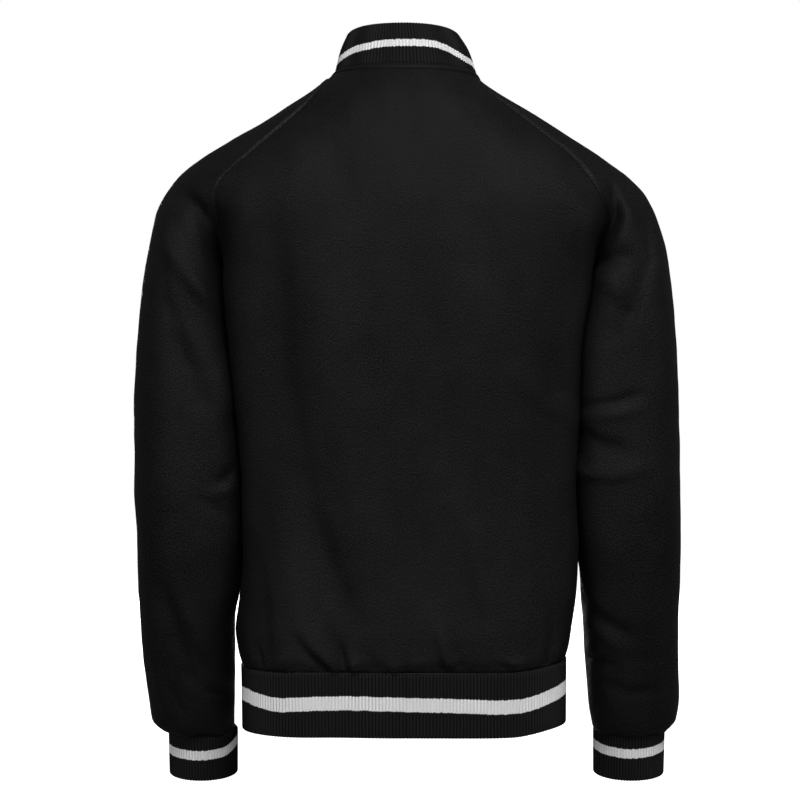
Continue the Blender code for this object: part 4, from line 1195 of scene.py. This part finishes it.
SNAP_SIDES = 40
SNAP_PROFILE = table(
    "radius height",
    (1.000, 0.00),
    (1.000, 0.55),
    (0.985, 0.95),
    (0.945, 1.22),
    (0.890, 1.32),
    (0.835, 1.25),
    (0.800, 1.12),
    (0.770, 1.20),
    (0.700, 1.62),
    (0.560, 2.10),
    (0.380, 2.40),
    (0.180, 2.56),
    (0.040, 2.60))


def make_snap(name, foot, out, material):
    """A pressed cap with a rolled rim and a domed middle."""
    across = np.cross(out, UP)
    across /= np.linalg.norm(across)
    upward = np.cross(across, out)
    angle = np.arange(SNAP_SIDES) * 2 * math.pi / SNAP_SIDES
    about = np.cos(angle)[:, None] * across + np.sin(angle)[:, None] * upward
    rings = np.array([foot + about * radius * SNAP_RADIUS + out * height * MM
                      for radius, height in zip(SNAP_PROFILE["radius"], SNAP_PROFILE["height"])])
    number = np.arange(rings.shape[0] * SNAP_SIDES).reshape(-1, SNAP_SIDES)
    right = np.roll(number, -1, axis=1)
    lists = quads(number[:-1], right[:-1], right[1:], number[1:]).tolist()
    lists += [number[0, ::-1].tolist(), number[-1].tolist()]
    flat = np.stack([np.cos(angle)[None, :] * SNAP_PROFILE["radius"][:, None],
                     np.sin(angle)[None, :] * SNAP_PROFILE["radius"][:, None]], axis=-1) * SNAP_RADIUS
    corners = corner_numbers(lists)
    places = flat.reshape(-1, 2)[corners]
    return make_mesh(name, rings.reshape(-1, 3), lists, places, [material], turn_out=True)


def make_snaps(panels, material):
    column, facing = panels["front_left"]["outer"][::-1, 7], panels["front_left"]["out"][::-1, 7]
    for number, z in enumerate(SNAP_HEIGHTS, start=1):
        foot = between(z, column[:, 2], column)
        face = between(z, column[:, 2], facing)
        face[0] = 0
        face /= np.linalg.norm(face)
        cap = make_snap("snap_cap_%d" % number, foot + face * SEAM_GAP, face, material)
        on_jacket(cap, "snap_enamel", "snap_%d" % number)
    face = np.array([0.0, -1.0, 0.0])
    last = len(SNAP_HEIGHTS) + 1
    foot = oval(BODY, math.pi, SNAP_HEM) + face * (RIB_RISE + SEAM_GAP)
    on_jacket(make_snap("snap_cap_%d" % last, foot, face, material), "snap_enamel", "snap_%d" % last)


# ---------------------------------------------------------------- finishes

def linear(hex_colour):
    """An sRGB hex colour as the linear colour that a shader takes."""
    shares = [int(hex_colour[i:i + 2], 16) / 255 for i in (1, 3, 5)]
    return tuple(s / 12.92 if s <= 0.04045 else ((s + 0.055) / 1.055) ** 2.4 for s in shares) + (1.0,)


def add(tree, kind, inputs=None, **settings):
    """Adds a node, sets it, and fills its inputs with values or with what other nodes give."""
    made = tree.nodes.new(kind)
    for name, value in settings.items():
        setattr(made, name, value)
    for name, value in (inputs or {}).items():
        socket = made.inputs[name]
        if isinstance(value, bpy.types.Node):
            value = value.outputs[0]
        if isinstance(value, bpy.types.NodeSocket):
            tree.links.new(value, socket)
        else:
            socket.default_value = value
    return made


def start_finish(name, roughness, specular, sheen=0.0, sheen_roughness=0.5):
    """A material with its shader, and the flat places of the cloth in metres."""
    material = bpy.data.materials.new(name)
    material.use_nodes = True
    tree = material.node_tree
    shader = tree.nodes["Principled BSDF"]
    shader.inputs["Roughness"].default_value = roughness
    shader.inputs["Specular IOR Level"].default_value = specular
    shader.inputs["Metallic"].default_value = 0.0
    shader.inputs["Sheen Weight"].default_value = sheen
    shader.inputs["Sheen Roughness"].default_value = sheen_roughness
    shader.inputs["Sheen Tint"].default_value = linear("#ffffff")
    flat = add(tree, "ShaderNodeUVMap", uv_map="cut")
    return material, tree, shader, flat


def waves(tree, value, pitch):
    """A sine of a length, from -1 to 1, that repeats every pitch."""
    scaled = add(tree, "ShaderNodeMath", {0: value, 1: 2 * math.pi / pitch}, operation="MULTIPLY")
    return add(tree, "ShaderNodeMath", {0: scaled}, operation="SINE")


def grain(tree, flat, size, stretch=(1, 1, 1), detail=3.0):
    """Noise with a grain of a given size, longer down the cloth where stretch says so."""
    scale = tuple(s / size for s in stretch)
    place = add(tree, "ShaderNodeMapping", {"Vector": flat, "Scale": scale})
    settings = {"Vector": place, "Scale": 1.0, "Detail": detail, "Roughness": 0.55}
    return add(tree, "ShaderNodeTexNoise", settings)


def blend(tree, share, low, high):
    """A colour between two others, each a hex colour or what a node gives."""
    low, high = (linear(colour) if isinstance(colour, str) else colour for colour in (low, high))
    return add(tree, "ShaderNodeMix", {"Factor": share, 6: low, 7: high}, data_type="RGBA").outputs[2]


def weighted(tree, *terms):
    """Sum of heights, each times its own depth."""
    total = None
    for value, depth in terms:
        term = add(tree, "ShaderNodeMath", {0: value, 1: depth}, operation="MULTIPLY")
        total = term if total is None else add(tree, "ShaderNodeMath", {0: total, 1: term}, operation="ADD")
    return total


def ramp(tree, value, low, high, to_low=0.0, to_high=1.0):
    return add(tree, "ShaderNodeMapRange", {0: value, 1: low, 2: high, 3: to_low, 4: to_high}, clamp=True)


def raise_surface(tree, shader, height, strength=1.0):
    """Heights in metres as bump."""
    bump = add(tree, "ShaderNodeBump", {"Height": height, "Distance": 1.0, "Strength": strength})
    tree.links.new(bump.outputs["Normal"], shader.inputs["Normal"])


def fleece_backed_double_knit(name, roughness, specular):
    """Polyester and cotton double knit, brushed on the back: a smooth face with a low satin sheen, fine
    diagonal floats over narrow wales, and a dry, slightly speckled black."""
    material, tree, shader, flat = start_finish(name, roughness, specular, sheen=0.004, sheen_roughness=0.4)
    place = add(tree, "ShaderNodeSeparateXYZ", {0: flat})
    u, v = place.outputs[0], place.outputs[1]
    slant = weighted(tree, (u, 0.55), (v, 1.0))
    # The floats are 0.9 mm apart on the real cloth and drawn 2.4 mm apart, which is the finest that shows.
    floats = waves(tree, slant, 0.0024)
    wales = waves(tree, u, 0.0032)
    dots = add(tree, "ShaderNodeMath", {0: floats, 1: wales}, operation="MULTIPLY")
    speckle = grain(tree, flat, 0.0011, (1, 0.6, 1), 2.0)
    cloud = grain(tree, flat, 0.045, (1, 0.5, 1), 3.0)
    tone = weighted(tree, (speckle, 1.0), (cloud, 0.20), (floats, 0.030), (wales, 0.010), (dots, 0.035))
    colour = blend(tree, ramp(tree, tone, 0.46, 0.76), "#060606", "#212121")
    tree.links.new(colour, shader.inputs["Base Color"])
    worn = ramp(tree, speckle, 0.3, 0.7, roughness + 0.06, roughness - 0.06)
    tree.links.new(worn.outputs[0], shader.inputs["Roughness"])
    height = weighted(tree, (floats, 0.00005), (dots, 0.00004), (speckle, 0.00070), (cloud, 0.0010))
    raise_surface(tree, shader, height, 0.8)
    return material


def brushed_fleece():
    """The brushed back of the same cloth: short matted pile, matte and a little greyer."""
    material, tree, shader, flat = start_finish(
        "brushed_fleece", 0.92, 0.08, sheen=0.02, sheen_roughness=0.7)
    tufts = grain(tree, flat, 0.0022, (1, 1, 1), 4.0)
    patches = grain(tree, flat, 0.02, (1, 1, 1), 3.0)
    tone = weighted(tree, (tufts, 0.6), (patches, 0.4))
    colour = blend(tree, ramp(tree, tone, 0.35, 0.65), "#0d0d0d", "#1e1e1e")
    tree.links.new(colour, shader.inputs["Base Color"])
    raise_surface(tree, shader, weighted(tree, (tufts, 0.0007), (patches, 0.0005)), 0.8)
    return material


KNIT_LOOP = 0.0014          # height of a loop
STRIPE_SOFT = 0.00025       # half of the blur at a stripe's edge


def striped_rib_knit(name, pitch, stripe_top, stripe_low):
    """Acrylic rib knit, 1 by 1, black with a stripe of white courses: matte, soft, with small loops that
    show as chevrons on every rib. stripe_top and stripe_low are metres from the folded edge."""
    material, tree, shader, flat = start_finish(
        name, 0.80, 0.12, sheen=0.01, sheen_roughness=0.6)
    place = add(tree, "ShaderNodeSeparateXYZ", {0: flat})
    u, v = place.outputs[0], place.outputs[1]
    ribs = add(tree, "ShaderNodeMath", {0: u, 1: pitch}, operation="DIVIDE")
    whole = add(tree, "ShaderNodeMath", {0: ribs}, operation="FLOOR")
    across = add(tree, "ShaderNodeMath", {0: ribs}, operation="FRACT")
    off = add(tree, "ShaderNodeMath", {0: across, 1: 0.5}, operation="SUBTRACT")
    away = add(tree, "ShaderNodeMath", {0: off}, operation="ABSOLUTE")
    uneven_rib = add(tree, "ShaderNodeTexWhiteNoise", {"W": whole}, noise_dimensions="1D")
    step = weighted(tree, (uneven_rib, 0.0007), (away, 0.0012))
    course = add(tree, "ShaderNodeMath", {0: v, 1: step}, operation="ADD")
    below_top = ramp(tree, course, stripe_top - STRIPE_SOFT, stripe_top + STRIPE_SOFT)
    above_low = ramp(tree, course, stripe_low - STRIPE_SOFT, stripe_low + STRIPE_SOFT, 1.0, 0.0)
    stripe = add(tree, "ShaderNodeMath", {0: below_top, 1: above_low}, operation="MULTIPLY")
    slanted = weighted(tree, (v, 1.0), (away, pitch * 0.9))
    loops = waves(tree, slanted, KNIT_LOOP)
    fuzz = grain(tree, flat, 0.0012, (1, 0.7, 1), 3.0)
    # Tone of the yarn: random fuzz and the loops' chevrons, plus painted shade. The valleys between the ribs
    # are painted darker than the rib tops, on the black and the white courses alike.
    fuzz_loops_and_valley_shade = ramp(tree, weighted(tree, (fuzz, 0.8), (loops, 0.14), (away, -1.3)), -0.22, 0.48)
    black = blend(tree, fuzz_loops_and_valley_shade, "#040404", "#222222")
    white = blend(tree, fuzz_loops_and_valley_shade, "#dedede", "#ffffff")
    tree.links.new(blend(tree, stripe, black, white), shader.inputs["Base Color"])
    height = weighted(tree, (loops, 0.00010), (fuzz, 0.00022))
    raise_surface(tree, shader, height, 0.8)
    return material


def twill_tape():
    """Cotton tape, pressed flat: matte, with a fine slanted weave."""
    material, tree, shader, flat = start_finish(
        "cotton_twill_tape", 0.60, 0.10, sheen=0.005, sheen_roughness=0.5)
    place = add(tree, "ShaderNodeSeparateXYZ", {0: flat})
    slant = add(tree, "ShaderNodeMath", {0: place.outputs[0], 1: place.outputs[1]}, operation="ADD")
    weave = waves(tree, slant, 0.0011)
    fuzz = grain(tree, flat, 0.0015)
    tree.links.new(blend(tree, fuzz, "#0e0e0e", "#1a1a1a"), shader.inputs["Base Color"])
    raise_surface(tree, shader, weighted(tree, (weave, 0.00004), (fuzz, 0.0002)), 0.7)
    return material


def sewing_thread():
    """Spun polyester thread: two plies twisted together, a little brighter than the cloth."""
    material, tree, shader, flat = start_finish(
        "spun_polyester_thread", 0.45, 0.20, sheen=0.01, sheen_roughness=0.4)
    place = add(tree, "ShaderNodeSeparateXYZ", {0: flat})
    slant = weighted(tree, (place.outputs[0], 1.0), (place.outputs[1], 1.4))
    plies = waves(tree, slant, 0.0009)
    colour = blend(tree, ramp(tree, plies, -1.0, 1.0), "#181818", "#2c2c2c")
    tree.links.new(colour, shader.inputs["Base Color"])
    raise_surface(tree, shader, weighted(tree, (plies, 0.00006)), 0.8)
    return material


def baked_enamel():
    """Black enamel baked on pressed brass: smooth, satin, with a very fine orange peel."""
    material, tree, shader, flat = start_finish("baked_enamel_snap", 0.34, 0.5)
    shader.inputs["Coat Weight"].default_value = 0.25
    shader.inputs["Coat Roughness"].default_value = 0.22
    peel = grain(tree, flat, 0.0009)
    wear = grain(tree, flat, 0.004)
    colour = blend(tree, ramp(tree, wear, 0.35, 0.75), "#0d0d0d", "#181818")
    tree.links.new(colour, shader.inputs["Base Color"])
    tree.links.new(ramp(tree, wear, 0.2, 0.8, 0.28, 0.42).outputs[0], shader.inputs["Roughness"])
    raise_surface(tree, shader, weighted(tree, (peel, 0.00003)), 0.6)
    return material


FLOOR_GLOW = 0.97


def painted_floor():
    """A studio floor in matte white paint, lit evenly from below its own translucent top."""
    material, tree, shader, _ = start_finish("matte_studio_paint", 0.9, 0.1)
    place = add(tree, "ShaderNodeTexCoord")
    mottle = add(tree, "ShaderNodeTexNoise", {"Vector": place.outputs["Object"], "Scale": 3.0, "Detail": 3.0})
    tree.links.new(blend(tree, mottle, "#e9e9e9", "#f0f0f0"), shader.inputs["Base Color"])
    shader.inputs["Emission Color"].default_value = linear("#ffffff")
    shader.inputs["Emission Strength"].default_value = FLOOR_GLOW
    return material


# ---------------------------------------------------------------- the jacket

DOUBLE_KNIT = fleece_backed_double_knit("fleece_backed_double_knit", 0.52, 0.08)
PRESSED_KNIT = fleece_backed_double_knit("pressed_double_knit", 0.44, 0.17)
FLEECE = brushed_fleece()
THREAD_FINISH = sewing_thread()
TAPE_FINISH = twill_tape()
ENAMEL = baked_enamel()
COLLAR_KNIT = striped_rib_knit("acrylic_rib_knit_collar", 0.0036, 0.0214, 0.0289)
HEM_KNIT = striped_rib_knit("acrylic_rib_knit_hem", 0.0034, 0.0276, 0.0416)
CUFF_KNIT = striped_rib_knit("acrylic_rib_knit_cuff", 0.0032, 0.0232, 0.0332)

panels = {"back": make_back_grid()}
for side_name, side in SIDES:
    panels["front_" + side_name] = make_front_grid(side)
    panels["sleeve_" + side_name] = make_sleeve_grid(side)

for name, part in panels.items():
    shell = make_wall(name + "_cloth", part, [DOUBLE_KNIT, FLEECE])
    on_jacket(shell, "fleece_backed_cloth", name)

sewn = {"back": [], "front_left": [], "front_right": [], "sleeve_left": [], "sleeve_right": []}
for side_name, side in SIDES:
    sleeve = panels["sleeve_" + side_name]
    for place, panel_name, own, other in (("back", "back", -1 if side > 0 else 0, -1),
                                          ("front", "front_" + side_name, -1, 0)):
        name = "seam_band_%s_%s" % (place, side_name)
        made = make_seam_band(name, side, panels[panel_name], own, sleeve, other, PRESSED_KNIT, THREAD_FINISH)
        for piece in made:
            sewn["sleeve_" + side_name].append(on_jacket(piece, "fleece_backed_cloth"))

tape = make_neck_tape(panels, TAPE_FINISH)
on_jacket(tape, "neck_tape", "neck_band")
sewn["back"].append(tape)
placket = panels["front_left"]
lines = [(placket["outer"][6:-4, k] + placket["out"][6:-4, k] * 0.0001, placket["out"][6:-4, k])
         for k in (1, 14)]
placket_sewing = make_stitches("placket_stitches", lines, THREAD_FINISH)
sewn["front_left"].append(on_jacket(placket_sewing, "fleece_backed_cloth"))

collar = on_jacket(make_collar(COLLAR_KNIT), "rib_knit", "collar")
hem_band = on_jacket(make_hem_rib(HEM_KNIT), "rib_knit", "hem_rib")
cuffs = [on_jacket(make_cuff("cuff_rib_" + side_name, side, CUFF_KNIT), "rib_knit", "cuff_" + side_name)
         for side_name, side in SIDES]
make_snaps(panels, ENAMEL)


# ---------------------------------------------------------------- floor, light and camera

FLOOR_LEVEL = -0.80
FLOOR_HALF = 6.0
MIDDLE = (0, 0, -0.35)
LAMP_SIZE = (1.3, 1.0)
LAMPS = (                   # name, place and watts
    ("high_key", (-0.55, 2.0, 1.9), 49),
    ("left_fill", (1.4, 2.3, 0.3), 15),
    ("low_fill", (0.2, 2.9, -0.6), 14),
    ("right_side", (-2.2, 1.4, 0.3), 10),
    ("far_side", (0.3, -2.8, -0.1), 50))
AIR_LIGHT = 0.095


def make_floor():
    corners = np.array([(-1, -1), (1, -1), (1, 1), (-1, 1)]) * FLOOR_HALF
    points = np.column_stack([corners, np.full(4, FLOOR_LEVEL)])
    floor = make_mesh("studio_floor", points, [[0, 1, 2, 3]], corners, [painted_floor()])
    floor.visible_diffuse = False
    floor.visible_glossy = False


def make_lamp(name, place, power):
    lamp = bpy.data.lights.new(name, "AREA")
    lamp.shape = "RECTANGLE"
    lamp.size, lamp.size_y = LAMP_SIZE
    lamp.energy = power
    holder = bpy.data.objects.new(name, lamp)
    holder.location = place
    aim = Vector(MIDDLE) - Vector(place)
    holder.rotation_euler = aim.to_track_quat("-Z", "Y").to_euler()
    bpy.context.scene.collection.objects.link(holder)


def make_sky():
    """Pale studio air: white to look at, and only a little light from every side."""
    world = bpy.data.worlds.new("studio_air")
    world.use_nodes = True
    tree = world.node_tree
    tree.nodes["Background"].inputs["Color"].default_value = linear("#ffffff")
    seen = add(tree, "ShaderNodeLightPath")
    strength = add(tree, "ShaderNodeMapRange", {0: seen.outputs["Is Camera Ray"], 3: AIR_LIGHT, 4: 1.0})
    tree.links.new(strength.outputs[0], tree.nodes["Background"].inputs["Strength"])
    bpy.context.scene.world = world


CAMERA_PLACE = (0.0063, 2.25, -0.343)
VIEW_WIDTH = 0.84           # metres that the picture shows at the jacket's middle
SENSOR = 36.0


def make_camera():
    camera = bpy.data.cameras.new("photo_side")
    camera.sensor_width = SENSOR
    camera.lens = SENSOR * CAMERA_PLACE[1] / VIEW_WIDTH
    holder = bpy.data.objects.new("photo_side", camera)
    holder.location = CAMERA_PLACE
    holder.rotation_euler = (math.radians(90), 0, math.radians(180))
    bpy.context.scene.collection.objects.link(holder)
    bpy.context.scene.camera = holder


make_floor()
for lamp_name, place, watts in LAMPS:
    make_lamp(lamp_name, place, watts)
make_sky()
make_camera()
bpy.context.scene.view_settings.view_transform = "Standard"
